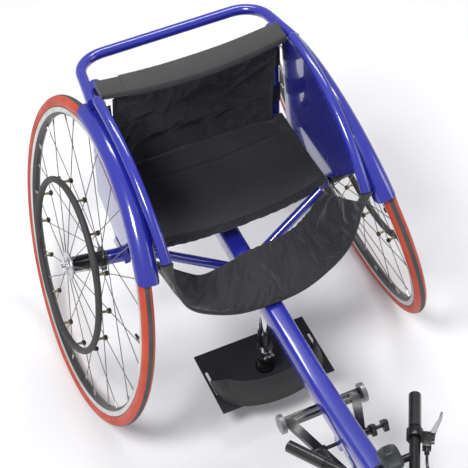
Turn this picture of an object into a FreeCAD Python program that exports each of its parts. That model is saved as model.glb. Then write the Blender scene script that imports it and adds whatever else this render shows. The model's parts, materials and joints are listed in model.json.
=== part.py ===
import FreeCAD, Part
import math
import os
from FreeCAD import Placement, Rotation, Vector

os.makedirs("parts", exist_ok=True)

# Racing wheelchair, in millimetres. The occupant looks along -Y, +X is the occupant's left, +Z is up,
# and the origin is on the floor, in the middle of the chair's length and width.
# "Ahead" is a distance in front of the rear axle line, and a negative one lies behind it.

# Layout
CAMBER = 12.0
SMALL_FACETS = 10
TUBE_FACETS = 12
HALF_TRACK = 287.0
SEAM = 0.3
RUNNING_GAP = 0.6
PAINTED_PLATE = 3.0

# Rear wheel, in its own frame: radius from the axle, offset outboard of the wheel's middle plane
REAR_RADIUS = 336.0
TYRE_HALF_WIDTH = 12.5
TYRE_DEPTH = 22.0
CROWN_HALF = 3.5
RIM_HALF_WIDTH = 10.0
RIM_DEPTH = 16.5
TRACK_DEPTH = 10.5
RIM_NOSE_HALF = 4.5
SPOKES = 28
SPOKE_R = 1.1
SPOKE_ROOT = 0.7
HUB_OUTER_OFFSET = 36.5
HUB_INNER_OFFSET = -34.0
OUTER_FLANGE_R = 28.0
INNER_FLANGE_R = 25.0
FLANGE_THICK = 3.0
HUB_SHELL_R = 15.0
INNER_SPOKE_HOLE_R = 21.5
INNER_SPOKE_LEAN = 60.0
AXLE_R = 6.35
AXLE_FIT = 0.05
BUTTON_R = 4.5
BUTTON_OUT = 5.0
PIN_NUT_R = 9.4
PIN_HEAD = 11.0
HUB_CAP = 4.0
POCKET = 6.3
BUTTON_TRAVEL = 3.0
PUSHRIM_R = 174.0
PUSHRIM_OFFSET = 39.3
PUSHRIM_TUBE_R = 6.5
RING_SIDES = 6
WHEEL_FACETS = 36
HUB_FACETS = 16
TAB_STEM_R = 3.0
TAB_BLOCK = Vector(9.0, 7.0, 7.0)

# Front wheel
FRONT_RADIUS = 250.5
FRONT_TYRE_HALF = 12.0
FRONT_TYRE_DEPTH = 20.0
FRONT_SPOKES = 20
FRONT_HUB_HALF = 30.0
FRONT_FLANGE_R = 17.0
FRONT_SHELL_R = 11.0
FRONT_AXLE_R = 4.5

# Main beam and head tube
BEAM_WIDTH = 40.0
BEAM_HEIGHT = 50.0
BEAM_CORNER = 9.0
BEAM_Z = 325.0
BEAM_TAIL = -24.0
BEND_AHEAD = 380.0
BEND_R = 1500.0
BEND_ANGLE = 7.5
BEAM_STEPS = 3
HEAD_AHEAD = 868.0
FORK_REACH = 312.0
HEAD_Z = 400.0
HEAD_LEAN = 25.0
HEAD_LENGTH = 116.0
HEAD_R = 19.0
HEAD_BORE = 15.0
CUP_R = 22.0
CUP_LENGTH = 8.0
STEERER_R = 12.7
FIN_THICK = 16.0
FIN_REACH = 116.0
FIN_NOSE = 48.0
FIN_RELIEF = 6.0
STOP_BLOCK = 24.0
PIVOT_WASHER = 5.0

# Cage
SIDE_X = 200.0
SIDE_TUBE_R = 10.0
SIDE_ARC_R = 351.0
SIDE_ARC_AHEAD = -20.0
SIDE_ARC_Z = 337.0
SIDE_FRONT_ANGLE = 51.8
SIDE_REAR_ANGLE = -6.0
SIDE_STEPS = 8
FENDER_STEPS = 12
FENDER_FACETS = 5
PANEL_SPLAY = 2.2
FENDER_OFFSET = -6.0
FENDER_BORE = 20.3
FENDER_WALL = 2.0
FENDER_FRONT = 53.0
FENDER_REAR = -16.0
PUSH_TUBE_R = 11.0
PUSH_START = -66.0
PUSH_BACK = -214.0
PUSH_START_X = 208.0
PUSH_BACK_X = 190.0
PUSH_BELOW = 14.0
PUSH_DROP = 20.0
PUSH_BEND = 60.0
PUSH_STEPS = 6
POST_R = 12.7
POST_FACETS = 12
POST_X = 184.0
POST_AHEAD = -118.0
POST_BELOW = 16.0
POST_FOOT = 380.0
RAIL_R = 8.0
RAIL_Z = 430.0
RAIL_X = 188.0
RAIL_FRONT = 96.0
STAY_FOOT = Vector(18.0, 128.0, 308.0)
STAY_HEAD = Vector(192.0, 95.5, 414.0)
STRUT_FOOT = Vector(208.0, -6.0, 340.0)
STAY_R = 10.0
STRUT_R = 9.0
AXLE_TUBE_R = 16.0
AXLE_TUBE_Z = 309.0
SOCKET_R = 15.0
SOCKET_START = -42.0
SOCKET_END = -112.0
SOCKET_LAP = 12.0
GUSSET_THICK = 12.0
GUSSET_INSET = 4.0
PANEL_FOOT_Z = 353.0
PANEL_FOOT_HALF = 16.0
GUSSET_FOOT_HALF = 34.0
GUSSET_FOOT_Z = 322.0

# Upholstery
CLOTH = 7.0
SEAT_HALF = 196.0
SEAT_SLUNG = 178.0
SEAT_STATIONS = 17
SEAT_SAG = 26.0
SEAT_REAR = -96.0
SEAT_FRONT = 84.0
SEAT_TAIL = -124.0
SEAT_DIP = 34.0
SEAT_LIP = 95.0
BAND_SIDE_Z = 424.0
BAND_DROP = 33.0
BACK_HALF = 168.0
BACK_TOP_AHEAD = -58.0
BACK_BELOW_CAGE = 17.3
BACK_FOOT_AHEAD = -92.0
BACK_FOOT_Z = 446.0
BACK_BELLY = 24.0
BACK_STATIONS = 11
ROLL_HALF = 189.0
ROLL_STATIONS = 7
ROLL_THICK = 13.0
ROLL_FRONT = -62.0
ROLL_REAR = -109.0
ROLL_BOW = 17.0
ROLL_REAR_BOW = 10.0
ROLL_OVER_CAGE = 2.0
ROLL_FLAP = 42.0
STRAP_HEIGHTS = (598.0, 502.0)
STRAP_WIDTH = 42.0
STRAP_THICK = 2.0
SLING_POUCH = 26.0

# Footrest
FOOT_AHEAD = 220.0
STEM_R = 11.0
STEM_LENGTH = 152.0
SLEEVE_R = 12.7
SLEEVE_LENGTH = 92.0
COLLAR_R = 17.5
COLLAR_LENGTH = 26.0
COLLAR_GAP = 3.0
COLLAR_LIFT = 14.0
BASE_R = 20.0
BASE_LENGTH = 28.0
PLATE_Z = 80.0
PLATE_THICK = 4.0
PLATE_HALF = 126.0
PLATE_REAR = 136.0
PLATE_FRONT = 292.0
SLOT_X = 118.0
SLOT_LENGTH = 62.0
SLOT_WIDTH = 6.0
STRAP_REACH = 311.0
STRAP_TOP_AHEAD = 287.0
STRAP_FILL = 208.0
SLOT_START = 182.0
WEB_WIDTH = 52.0
WEB_THICK = 2.6
STRAP_STEPS = 8
TUCK = 10.0

# Compensator, in its own frame: the pivot is the origin, "back" runs towards the occupant
COMP_BEHIND = 200.0
COMP_Z = 258.0
COMP_SLOPE = 5.6
COMP_BACK = 184.0
COMP_HALF = 70.0
COMP_BAR = 18.0
COMP_THICK = 14.0
YOKE_R = 16.0
PIVOT_R = 5.0
BOSS_BACK = 106.0
BOSS_X = 46.0
BOSS_LENGTH = 30.0
BOSS_R = 7.5
SCREW_R = 3.6
PAD_R = 19.0
PAD_THICK = 9.0
PAD_FACETS = 24
LOBE = 2.6
KNOB_R = 11.4
KNOB_CORNERS = 15
BAR_SLOT = 3.5
LUG_BACK = -16.0
LUG_PIN_R = 2.5
EYE_HEIGHT = 10.0
KNOB_THICK = 9.0
COMP_SWING = 5.0

# Steering
STEM_UP = 81.0
CROWN_DOWN = 76.0
BLADE_X = 42.0
BLADE_R = 11.0
BLADE_TIP_R = 8.0
BLADE_EYE_R = 13.0
BAR_R = 9.5
GRIP_R = 11.0
GRIP_LENGTH = 78.0
GRIP_X = 124.0
GRIP_BEHIND = 265.0
GRIP_Z = 395.0
STEM_CLAMP_HALF = 14.0
STEM_CLAMP_WALL = 6.0
STEM_NECK_HALF = 12.0
BAR_ROOT_X = 20.0
BAR_ROOT_BEHIND = 80.0
BAR_ROOT_Z = 430.0
CROSS_SHARE = 0.65
CROSS_R = 7.0
LEVER_SHARE = 0.44
LEVER_PIVOT_OUT = 27.0
CABLE_R = 2.5
CABLE_FACETS = 6
CABLE_STEPS = 4
BRAKE_OUT = 24.0
CLAMP_LENGTH = 20.0
CLAMP_WALL = 5.0
CLAMP_BODY_OUT = 11.0
BARREL_END = 42.0
BOLT_R = 3.0
ARM_THICK = 5.0
ARM_CLEAR = 9.0
RIM_REACH = 226.0
DAMPER_X = 27.0
DAMPER_R = 8.0
DAMPER_ROD_R = 3.5
DAMPER_STROKE = 12.0
EYE_R = 7.0
NECK_R = 4.5
ROD_EYE_R = 5.5
ROD_GAP = 6.0

# Worked out from the sizes above
WHEELBASE = HEAD_AHEAD + FORK_REACH
COMP_AHEAD = HEAD_AHEAD - COMP_BEHIND
CAGE_TOP = SIDE_ARC_Z + SIDE_ARC_R
POST_TOP = CAGE_TOP - POST_BELOW
SIN_C = math.sin(math.radians(CAMBER))
COS_C = math.cos(math.radians(CAMBER))
WHEEL_Z = REAR_RADIUS * COS_C + CROWN_HALF * SIN_C
REAR_Y = (WHEELBASE + FRONT_RADIUS - REAR_RADIUS) / 2.0
AXIS_LEAN = math.radians(HEAD_LEAN)


def at(x, ahead, z):
    return Vector(x, REAR_Y - ahead, z)


def save(name, *solids):
    shape = solids[0] if len(solids) == 1 else Part.Compound(list(solids))
    shape.exportStep("parts/" + name + ".step")


def mirrored(shape):
    return shape.mirror(Vector(0, 0, 0), Vector(1, 0, 0))


def save_pair(name, left_solids):
    save(name + "_left", *left_solids)
    save(name + "_right", *[mirrored(solid) for solid in left_solids])


def rod(start, end, radius):
    line = end - start
    return Part.makeCylinder(radius, line.Length, start, line)


def flat(corners):
    return Part.Face(Part.makePolygon(corners + corners[:1]))


def closed(faces):
    solid = Part.Solid(Part.Shell(faces))
    if solid.Volume < 0:
        solid.reverse()
    return solid


def banded(sections):
    """Solid between sections of as many corners each, where every side of a band is flat."""
    faces = [flat(sections[0]), flat(sections[-1])]
    for near, far in zip(sections, sections[1:]):
        for k in range(len(near)):
            j = (k + 1) % len(near)
            faces.append(flat([near[k], near[j], far[j], far[k]]))
    return closed(faces)


def fan(corners):
    """Triangles from the middle of a section that need not be flat."""
    centre = sum(corners[1:], corners[0]) * (1.0 / len(corners))
    return [flat([centre, corner, after]) for corner, after in zip(corners, corners[1:] + corners[:1])]


def skinned(sections):
    """Solid between sections of as many corners each, skinned with triangles."""
    faces = fan(sections[0]) + fan(sections[-1])
    for near, far in zip(sections, sections[1:]):
        for k in range(len(near)):
            j = (k + 1) % len(near)
            faces.append(flat([near[k], near[j], far[j]]))
            faces.append(flat([near[k], far[j], far[k]]))
    return closed(faces)


def ring_section(profile, angle, stretch):
    across, along = math.cos(angle) * stretch, math.sin(angle) * stretch
    return [Vector(radius * across, radius * along, offset) for radius, offset in profile]


def facet_ring(profile, sides):
    """Closed ring of flat facets, whose middles keep the profile's radii."""
    stretch = 1.0 / math.cos(math.pi / sides)
    sections = [ring_section(profile, 2.0 * math.pi * (k + 0.5) / sides, stretch) for k in range(sides)]
    faces = []
    for near, far in zip(sections, sections[1:] + sections[:1]):
        for k in range(len(profile)):
            j = (k + 1) % len(profile)
            faces.append(flat([near[k], near[j], far[j], far[k]]))
    return closed(faces)


def polygon(radius, sides, shift=0.5):
    """Corners of a regular polygon, as offsets sideways and upwards, with its flats at the radius."""
    reach = radius / math.cos(math.pi / sides)
    angles = [2.0 * math.pi * (k + shift) / sides for k in range(sides)]
    return [(reach * math.cos(angle), reach * math.sin(angle)) for angle in angles]


def square_to(direction):
    side = direction.cross(Vector(0, 0, 1))
    if side.Length < 1e-6 * direction.Length:
        side = Vector(1, 0, 0)
    return side.normalize()


def stack(start, end, profile, sides):
    """Many-sided column from start to end, with a radius at each distance of its profile."""
    line = (end - start).normalize()
    side = square_to(line)
    other = line.cross(side)
    sections = []
    for distance, radius in profile:
        centre = start + line * distance
        sections.append([centre + side * u + other * v for u, v in polygon(radius, sides)])
    return banded(sections)


def bar(start, end, radius, sides=TUBE_FACETS):
    return stack(start, end, [(0.0, radius), ((end - start).Length, radius)], sides)


def prism_rod(start, end, radius, sides):
    line = end - start
    side = line.cross(Vector(0, 0, 1))
    if side.Length < 1e-6 * line.Length:
        side = Vector(1, 0, 0)
    side.normalize()
    other = line.cross(side).normalize()
    corners = []
    for corner in range(sides):
        angle = 2.0 * math.pi * (corner + 0.5) / sides
        corners.append(start + side * (radius * math.cos(angle)) + other * (radius * math.sin(angle)))
    return Part.Face(Part.makePolygon(corners + corners[:1])).extrude(line)


def block(size, centre, turn=Rotation()):
    box = Part.makeBox(size.x, size.y, size.z, Vector(-size.x / 2, -size.y / 2, -size.z / 2))
    box.Placement = Placement(centre, turn)
    return box


def bent_stations(points, radii, steps):
    """Points and headings along straight runs joined by tangent arcs, one radius for each inner point."""
    stations = [(points[0], (points[1] - points[0]).normalize())]
    for index, radius in enumerate(radii, start=1):
        corner = points[index]
        before = (corner - points[index - 1]).normalize()
        after = (points[index + 1] - corner).normalize()
        turn = before.getAngle(after)
        start = corner - before * (radius * math.tan(turn / 2.0))
        inward = (after - before * before.dot(after)).normalize()
        for step in range(steps + 1):
            angle = turn * step / steps
            along, across = radius * math.sin(angle), radius * (1.0 - math.cos(angle))
            point = start + before * along + inward * across
            stations.append((point, before * math.cos(angle) + inward * math.sin(angle)))
    stations.append((points[-1], (points[-1] - points[-2]).normalize()))
    return stations


def carried(outline, stations, side):
    """Solid that carries an outline of sideways and upward offsets along the stations."""
    sections = []
    heading = stations[0][1]
    for point, direction in stations:
        hinge = heading.cross(direction)
        if hinge.Length > 1e-9:
            side = Rotation(hinge, math.degrees(heading.getAngle(direction))).multVec(side)
        side = (side - direction * direction.dot(side)).normalize()
        heading = direction
        other = direction.cross(side)
        sections.append([point + side * u + other * v for u, v in outline])
    return banded(sections)


def bent_bar(points, radii, radius, sides, steps):
    stations = bent_stations(points, radii, steps)
    return carried(polygon(radius, sides), stations, square_to(stations[0][1]))


# Wheel frames

def rear_frame():
    """Left rear wheel: local X is forward, local Z is outboard along the cambered axle."""
    outboard = Vector(COS_C, 0, SIN_C)
    forward = Vector(0, -1, 0)
    turn = Rotation(forward, outboard.cross(forward), outboard, "ZXY")
    return Placement(at(HALF_TRACK, 0, WHEEL_Z), turn)


def front_frame():
    forward = Vector(0, -1, 0)
    outboard = Vector(1, 0, 0)
    turn = Rotation(forward, outboard.cross(forward), outboard, "ZXY")
    return Placement(at(0, WHEELBASE, FRONT_RADIUS), turn)


def placed(shape, frame):
    copy = shape.copy()
    copy.Placement = frame.multiply(copy.Placement)
    return copy


def polar(radius, angle, offset):
    """A point in a wheel's own frame, with its angle measured forward from the top."""
    turn = math.radians(angle)
    return Vector(radius * math.sin(turn), -radius * math.cos(turn), offset)


def tyre(radius, half, depth, crown):
    base = radius - depth
    side = radius - 0.62 * depth
    shoulder = radius - 0.2 * depth
    upper = [(base, half * 0.72), (side, half), (shoulder, half * 0.76), (radius, crown)]
    lower = [(r, -offset) for r, offset in reversed(upper)]
    return facet_ring(upper + lower, WHEEL_FACETS)


def rim(outer, half, track, depth, nose):
    upper = [(outer, half), (outer - track, half), (outer - depth, nose)]
    lower = [(r, -offset) for r, offset in reversed(upper)]
    return facet_ring(upper + lower, WHEEL_FACETS)


def rear_rim_outer():
    return REAR_RADIUS - TYRE_DEPTH - 0.1


def rear_rim_inner():
    return rear_rim_outer() - RIM_DEPTH


def flange(radius, offset, shell):
    half = FLANGE_THICK / 2.0
    near, far = offset - half, offset + half
    return [(near, shell), (near, radius), (far, radius), (far, shell)]


def hub_body(profile, bore):
    """Hub turned on its axle, from distances along the axle and radii."""
    low, high = Vector(0, 0, profile[0][0]), Vector(0, 0, profile[-1][0])
    raised = [(distance - profile[0][0], radius) for distance, radius in profile]
    return stack(low, high, raised, HUB_FACETS).cut(rod(low, high, bore + AXLE_FIT))


def rear_hub():
    neck = HUB_SHELL_R - 3.0
    profile = [(HUB_INNER_OFFSET - 5.0, neck)]
    profile += flange(INNER_FLANGE_R, HUB_INNER_OFFSET, neck)[:-1]
    profile += [(HUB_INNER_OFFSET + FLANGE_THICK / 2.0, HUB_SHELL_R)]
    profile += flange(OUTER_FLANGE_R, HUB_OUTER_OFFSET, HUB_SHELL_R)[:-1]
    profile += [(HUB_OUTER_OFFSET + FLANGE_THICK / 2.0, neck), (HUB_OUTER_OFFSET + HUB_CAP, neck)]
    return hub_body(profile, AXLE_R)


def outer_spoke(index):
    """One of the straight spokes from the outer flange's edge to the rim."""
    angle = index * 720.0 / SPOKES
    start = polar(OUTER_FLANGE_R + SPOKE_ROOT, angle, HUB_OUTER_OFFSET)
    end = polar(rear_rim_inner() - 0.1, angle, RIM_NOSE_HALF / 2.0)
    return start, end


def inner_spoke(index):
    """One of the crossed spokes, which leave the inner flange's two faces in turn."""
    angle = (index + 0.5) * 720.0 / SPOKES
    sense = 1 if index % 2 else -1
    clear = FLANGE_THICK / 2.0 + SPOKE_R + (0.1 if sense > 0 else 1.0)
    face = HUB_INNER_OFFSET + sense * clear
    start = polar(INNER_SPOKE_HOLE_R, angle + sense * INNER_SPOKE_LEAN, face)
    end = polar(rear_rim_inner() - 0.1, angle, -RIM_NOSE_HALF / 2.0)
    return start, end


def rear_spokes():
    half = SPOKES // 2
    runs = [outer_spoke(i) for i in range(half)] + [inner_spoke(i) for i in range(half)]
    return [prism_rod(start, end, SPOKE_R, 4) for start, end in runs]


def pushrim():
    points = [(PUSHRIM_R + u, PUSHRIM_OFFSET + v) for u, v in polygon(PUSHRIM_TUBE_R, RING_SIDES, 0.0)]
    return facet_ring(points, WHEEL_FACETS)


def spoke_at(index, radius):
    start, end = outer_spoke(index)
    share = (radius - OUTER_FLANGE_R) / (rear_rim_inner() - OUTER_FLANGE_R)
    return start + (end - start) * share


def pushrim_tabs():
    solids = []
    for index in range(SPOKES // 2):
        angle = index * 720.0 / SPOKES
        centre = spoke_at(index, PUSHRIM_R)
        turn = Rotation(Vector(0, 0, 1), angle)
        grip = block(TAB_BLOCK, centre, turn)
        start, end = outer_spoke(index)
        solids.append(grip.cut(prism_rod(start, end, SPOKE_R + 0.1, 4)))
        foot = centre + Vector(0, 0, TAB_BLOCK.z / 2.0)
        head = polar(PUSHRIM_R, angle, PUSHRIM_OFFSET - PUSHRIM_TUBE_R - 0.1)
        foot.x, foot.y = head.x, head.y
        solids.append(prism_rod(foot, head, TAB_STEM_R, 6))
    return solids


def pin_top():
    return HUB_OUTER_OFFSET + PIN_HEAD


def axle_pin():
    """Quick-release pin, whose head outside the hub is hollowed for the button."""
    inner = Vector(0, 0, SOCKET_END + 20.0)
    outer = Vector(0, 0, pin_top())
    pin = rod(inner, outer, AXLE_R)
    nut = bar(Vector(0, 0, HUB_OUTER_OFFSET + HUB_CAP + SEAM), outer, PIN_NUT_R, 6)
    pocket = rod(outer - Vector(0, 0, POCKET), outer, BUTTON_R + 0.1)
    return pin.fuse(nut).cut(pocket)


def release_button():
    top = Vector(0, 0, pin_top() + BUTTON_OUT)
    bottom = Vector(0, 0, pin_top() - POCKET + BUTTON_TRAVEL + SEAM)
    length = (top - bottom).Length
    side = BUTTON_R - 0.2
    return stack(bottom, top, [(0.0, side), (length - 1.0, side), (length, side - 1.0)], SMALL_FACETS)


def make_rear_wheels():
    frame = rear_frame()
    parts = {
        "rear_tyre": [tyre(REAR_RADIUS, TYRE_HALF_WIDTH, TYRE_DEPTH, CROWN_HALF)],
        "rear_rim": [rim(rear_rim_outer(), RIM_HALF_WIDTH, TRACK_DEPTH, RIM_DEPTH, RIM_NOSE_HALF)],
        "rear_spokes": rear_spokes(),
        "rear_hub": [rear_hub()],
        "pushrim": [pushrim()],
        "pushrim_tabs": pushrim_tabs(),
        "release_button": [release_button()],
    }
    for name, solids in parts.items():
        save_pair(name, [placed(solid, frame) for solid in solids])
    pin = placed(axle_pin(), frame)
    save("axle_pins", pin, mirrored(pin))


# Front wheel

def front_rim_inner():
    return FRONT_RADIUS - FRONT_TYRE_DEPTH - 0.1 - RIM_DEPTH


def front_spokes():
    runs = []
    for index in range(FRONT_SPOKES):
        sense = 1 if index % 2 else -1
        angle = index * 360.0 / FRONT_SPOKES
        start = polar(FRONT_FLANGE_R + SPOKE_ROOT, angle, sense * (FRONT_HUB_HALF - 3.0))
        runs.append((start, polar(front_rim_inner() - 0.1, angle, sense * RIM_NOSE_HALF / 2.0)))
    return [prism_rod(start, end, SPOKE_R, 4) for start, end in runs]


def front_hub():
    near = FRONT_HUB_HALF - 3.0
    profile = [(-FRONT_HUB_HALF, FRONT_SHELL_R)]
    profile += flange(FRONT_FLANGE_R, -near, FRONT_SHELL_R) + flange(FRONT_FLANGE_R, near, FRONT_SHELL_R)
    profile += [(FRONT_HUB_HALF, FRONT_SHELL_R)]
    return hub_body(profile, FRONT_AXLE_R)


def make_front_wheel():
    frame = front_frame()
    outer = FRONT_RADIUS - FRONT_TYRE_DEPTH - 0.1
    save("front_tyre", placed(tyre(FRONT_RADIUS, FRONT_TYRE_HALF, FRONT_TYRE_DEPTH, CROWN_HALF), frame))
    ring = rim(outer, RIM_HALF_WIDTH - 0.5, TRACK_DEPTH, RIM_DEPTH, RIM_NOSE_HALF)
    save("front_rim", placed(ring, frame))
    save("front_spokes", *[placed(spoke, frame) for spoke in front_spokes()])
    save("front_hub", placed(front_hub(), frame))


# Steering axis

def axis_point(height, sideways=0.0, forward=0.0):
    """A point measured along the steering axis from the head tube's middle, and square to it."""
    up = Vector(0, math.sin(AXIS_LEAN), math.cos(AXIS_LEAN))
    front = Vector(0, -math.cos(AXIS_LEAN), math.sin(AXIS_LEAN))
    return at(sideways, HEAD_AHEAD, HEAD_Z) + up * height + front * forward


# Main beam

def beam_slope():
    return math.radians(BEND_ANGLE)


def beam_centre(ahead):
    """Height of the beam's centre line, which bends up once and then runs straight to the head."""
    slope = beam_slope()
    bend_end = BEND_AHEAD + BEND_R * math.sin(slope)
    if ahead <= BEND_AHEAD:
        return BEAM_Z
    if ahead < bend_end:
        return BEAM_Z + BEND_R - math.sqrt(BEND_R ** 2 - (ahead - BEND_AHEAD) ** 2)
    rise = BEND_R * (1.0 - math.cos(slope))
    return BEAM_Z + rise + (ahead - bend_end) * math.tan(slope)


def rounded_outline(width, height, corner, steps=2):
    """Offsets round a rectangle whose corners are turned in a few flats."""
    flat_x, flat_z = width / 2.0 - corner, height / 2.0 - corner
    outline = []
    for index, (sx, sz) in enumerate(((1, 1), (-1, 1), (-1, -1), (1, -1))):
        for step in range(steps + 1):
            angle = math.radians(90.0 * index + 90.0 * step / steps)
            outline.append((sx * flat_x + corner * math.cos(angle), sz * flat_z + corner * math.sin(angle)))
    return outline


def fin_line(ahead):
    """Height of the underside that faces the compensator, parallel to its slope."""
    return COMP_Z + COMP_THICK / 2.0 + SEAM + (COMP_AHEAD - ahead) * math.tan(math.radians(COMP_SLOPE))


def fin():
    """Gusset under the beam that carries the compensator's pivot and its stop block."""
    rear, nose = COMP_AHEAD - FIN_REACH, COMP_AHEAD + FIN_NOSE
    relief_end = COMP_AHEAD - YOKE_R - 4.0
    top = [at(-FIN_THICK / 2, nose, beam_centre(nose)), at(-FIN_THICK / 2, rear, BEAM_Z)]
    steps = ((rear, -COMP_THICK), (rear + STOP_BLOCK, -COMP_THICK), (rear + STOP_BLOCK, FIN_RELIEF),
             (relief_end, FIN_RELIEF), (relief_end, 0.0), (COMP_AHEAD + YOKE_R, 0.0), (nose, 40.0))
    low = [at(-FIN_THICK / 2, ahead, fin_line(ahead) + lift) for ahead, lift in steps]
    return flat(top + low).extrude(Vector(FIN_THICK, 0, 0))


def main_beam():
    slope = beam_slope()
    corner = BEND_AHEAD + BEND_R * math.tan(slope / 2.0)
    points = [at(0, BEAM_TAIL, BEAM_Z), at(0, corner, BEAM_Z), at(0, HEAD_AHEAD, beam_centre(HEAD_AHEAD))]
    outline = rounded_outline(BEAM_WIDTH, BEAM_HEIGHT, BEAM_CORNER)
    beam = carried(outline, bent_stations(points, [BEND_R], BEAM_STEPS), Vector(1, 0, 0))
    head = bar(axis_point(-HEAD_LENGTH), axis_point(HEAD_LENGTH), HEAD_R + SEAM, HUB_FACETS)
    axle = bar(Vector(-BEAM_WIDTH, REAR_Y, AXLE_TUBE_Z), Vector(BEAM_WIDTH, REAR_Y, AXLE_TUBE_Z),
               AXLE_TUBE_R + SEAM)
    return beam.fuse(fin()).cut(head).cut(axle)


def pivot_pin():
    """Pin of the compensator with the washer that holds it up."""
    under = -COMP_THICK / 2.0 - SEAM
    pin = rod(comp_point(0, 0, COMP_THICK / 2.0 + 2.0), comp_point(0, 0, under - 0.5), PIVOT_R)
    washer = bar(comp_point(0, 0, under), comp_point(0, 0, under - PIVOT_WASHER), PIVOT_R + 5.0)
    return pin.fuse(washer)


def headset_cup(side):
    half = side * HEAD_LENGTH / 2.0
    near, far = axis_point(half), axis_point(half + side * CUP_LENGTH)
    return bar(near, far, CUP_R, HUB_FACETS).cut(rod(near, far, STEERER_R + AXLE_FIT))


def make_beam():
    half = HEAD_LENGTH / 2.0
    save("main_beam", main_beam().fuse(pivot_pin()))
    head = bar(axis_point(-half), axis_point(half), HEAD_R, HUB_FACETS)
    save("head_tube", head.cut(bar(axis_point(-half), axis_point(half), HEAD_BORE, SMALL_FACETS)))
    save("headset_cups", headset_cup(-1), headset_cup(1))


# Axle tube and cage

def axle_line(offset):
    return rear_frame().multVec(Vector(0, 0, offset))


def axle_tube():
    """Straight cross tube with a cambered socket and a gusset at each end."""
    inner = axle_line(SOCKET_END)
    reach = inner.x + SOCKET_LAP
    cross = bar(Vector(-reach, REAR_Y, AXLE_TUBE_Z), Vector(reach, REAR_Y, AXLE_TUBE_Z), AXLE_TUBE_R)
    socket = bar(inner, axle_line(SOCKET_START), SOCKET_R)
    bore = rod(inner, axle_line(SOCKET_START), AXLE_R + AXLE_FIT)
    corners = ((GUSSET_FOOT_HALF, GUSSET_FOOT_Z), (-GUSSET_FOOT_HALF, GUSSET_FOOT_Z),
               (-PANEL_FOOT_HALF, PANEL_FOOT_Z - 1.0), (PANEL_FOOT_HALF, PANEL_FOOT_Z - 1.0))
    face = flat([at(SIDE_X + GUSSET_INSET, ahead, z) for ahead, z in corners])
    gusset = face.extrude(Vector(GUSSET_THICK, 0, 0))
    end = socket.fuse(gusset)
    whole = cross.fuse(end).fuse(mirrored(end))
    return whole.cut(bore).cut(mirrored(bore))


def arc_angle_at(ahead):
    return math.degrees(math.asin((ahead - SIDE_ARC_AHEAD) / SIDE_ARC_R))


def arc_point(x, angle, radius=SIDE_ARC_R):
    turn = math.radians(angle)
    return at(x, SIDE_ARC_AHEAD + radius * math.sin(turn), SIDE_ARC_Z + radius * math.cos(turn))


def arc_heading(angle):
    turn = math.radians(angle)
    return Vector(0, -math.cos(turn), -math.sin(turn))


def side_tube(radius=SIDE_TUBE_R):
    """Tube along the arc over the side panel, with a domed plug welded in its rear end."""
    stations = []
    for step in range(SIDE_STEPS + 1):
        angle = SIDE_REAR_ANGLE + (SIDE_FRONT_ANGLE - SIDE_REAR_ANGLE) * step / SIDE_STEPS
        stations.append((arc_point(SIDE_X, angle), arc_heading(angle)))
    tube = carried(polygon(radius, TUBE_FACETS), stations, Vector(1, 0, 0))
    start, heading = stations[0]
    dome = [(0.0, radius - 0.05), (3.0, radius - 0.8), (6.0, radius - 2.6), (9.0, radius - 6.0)]
    return tube.fuse(stack(start + heading * 0.5, start - heading, dome, TUBE_FACETS))


def tube_plug():
    end = arc_point(SIDE_X, SIDE_FRONT_ANGLE)
    out = arc_heading(SIDE_FRONT_ANGLE)
    return bar(end + out * SEAM, end + out * 3.2, SIDE_TUBE_R + 0.4)


def channel_profile():
    """Half-round channel over the tyre, as radii from the axle and offsets along it."""
    middle = REAR_RADIUS - TYRE_HALF_WIDTH
    turns = [math.radians(180.0 * k / FENDER_FACETS - 90.0) for k in range(FENDER_FACETS + 1)]
    outer, inner = FENDER_BORE + FENDER_WALL, FENDER_BORE
    points = [(middle + outer * math.cos(turn), FENDER_OFFSET + outer * math.sin(turn)) for turn in turns]
    return points + [(middle + inner * math.cos(turn), FENDER_OFFSET + inner * math.sin(turn))
                     for turn in reversed(turns)]


def fender():
    """Channel over the tyre, trimmed where it meets the side panel."""
    first, span = FENDER_REAR - 90.0, FENDER_FRONT - FENDER_REAR
    angles = [math.radians(first + span * step / FENDER_STEPS) for step in range(FENDER_STEPS + 1)]
    channel = banded([ring_section(channel_profile(), angle, 1.0) for angle in angles])
    return placed(channel, rear_frame()).cut(panel_side_space()).cut(push_bar_room())


def splay_turn(shape):
    """Lean the side panel out at its foot, about the side tube's top line."""
    copy = shape.copy()
    copy.rotate(at(SIDE_X, 0, SIDE_ARC_Z + SIDE_ARC_R), Vector(0, 1, 0), -PANEL_SPLAY)
    return copy


def panel_side_space():
    reach = 2.0 * SIDE_ARC_R
    corner = at(SIDE_X + PAINTED_PLATE / 2.0 - reach, reach, 0)
    return splay_turn(Part.makeBox(reach, 2.0 * reach, 2.0 * reach, corner))


def side_panel():
    """Flat plate under the side tube, narrowing to its foot on the axle tube's gusset."""
    edge = SIDE_ARC_R - SIDE_TUBE_R + 2.0
    x = SIDE_X - PAINTED_PLATE / 2.0
    rear, front = arc_angle_at(POST_AHEAD + 6.0), SIDE_FRONT_ANGLE - 6.0
    angles = [rear + (front - rear) * step / SIDE_STEPS for step in range(SIDE_STEPS + 1)]
    outline = [arc_point(x, angle, edge) for angle in angles]
    outline += [at(x, PANEL_FOOT_HALF, PANEL_FOOT_Z), at(x, -PANEL_FOOT_HALF, PANEL_FOOT_Z),
                at(x, POST_AHEAD + 6.0, POST_FOOT + 10.0)]
    plate = splay_turn(flat(outline).extrude(Vector(PAINTED_PLATE, 0, 0)))
    room = bar(strut_foot(), strut_head(), STRUT_R + SEAM).fuse(post(POST_R + SEAM, SEAM))
    return plate.cut(side_tube(SIDE_TUBE_R + SEAM)).cut(push_bar_room()).cut(room)


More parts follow.
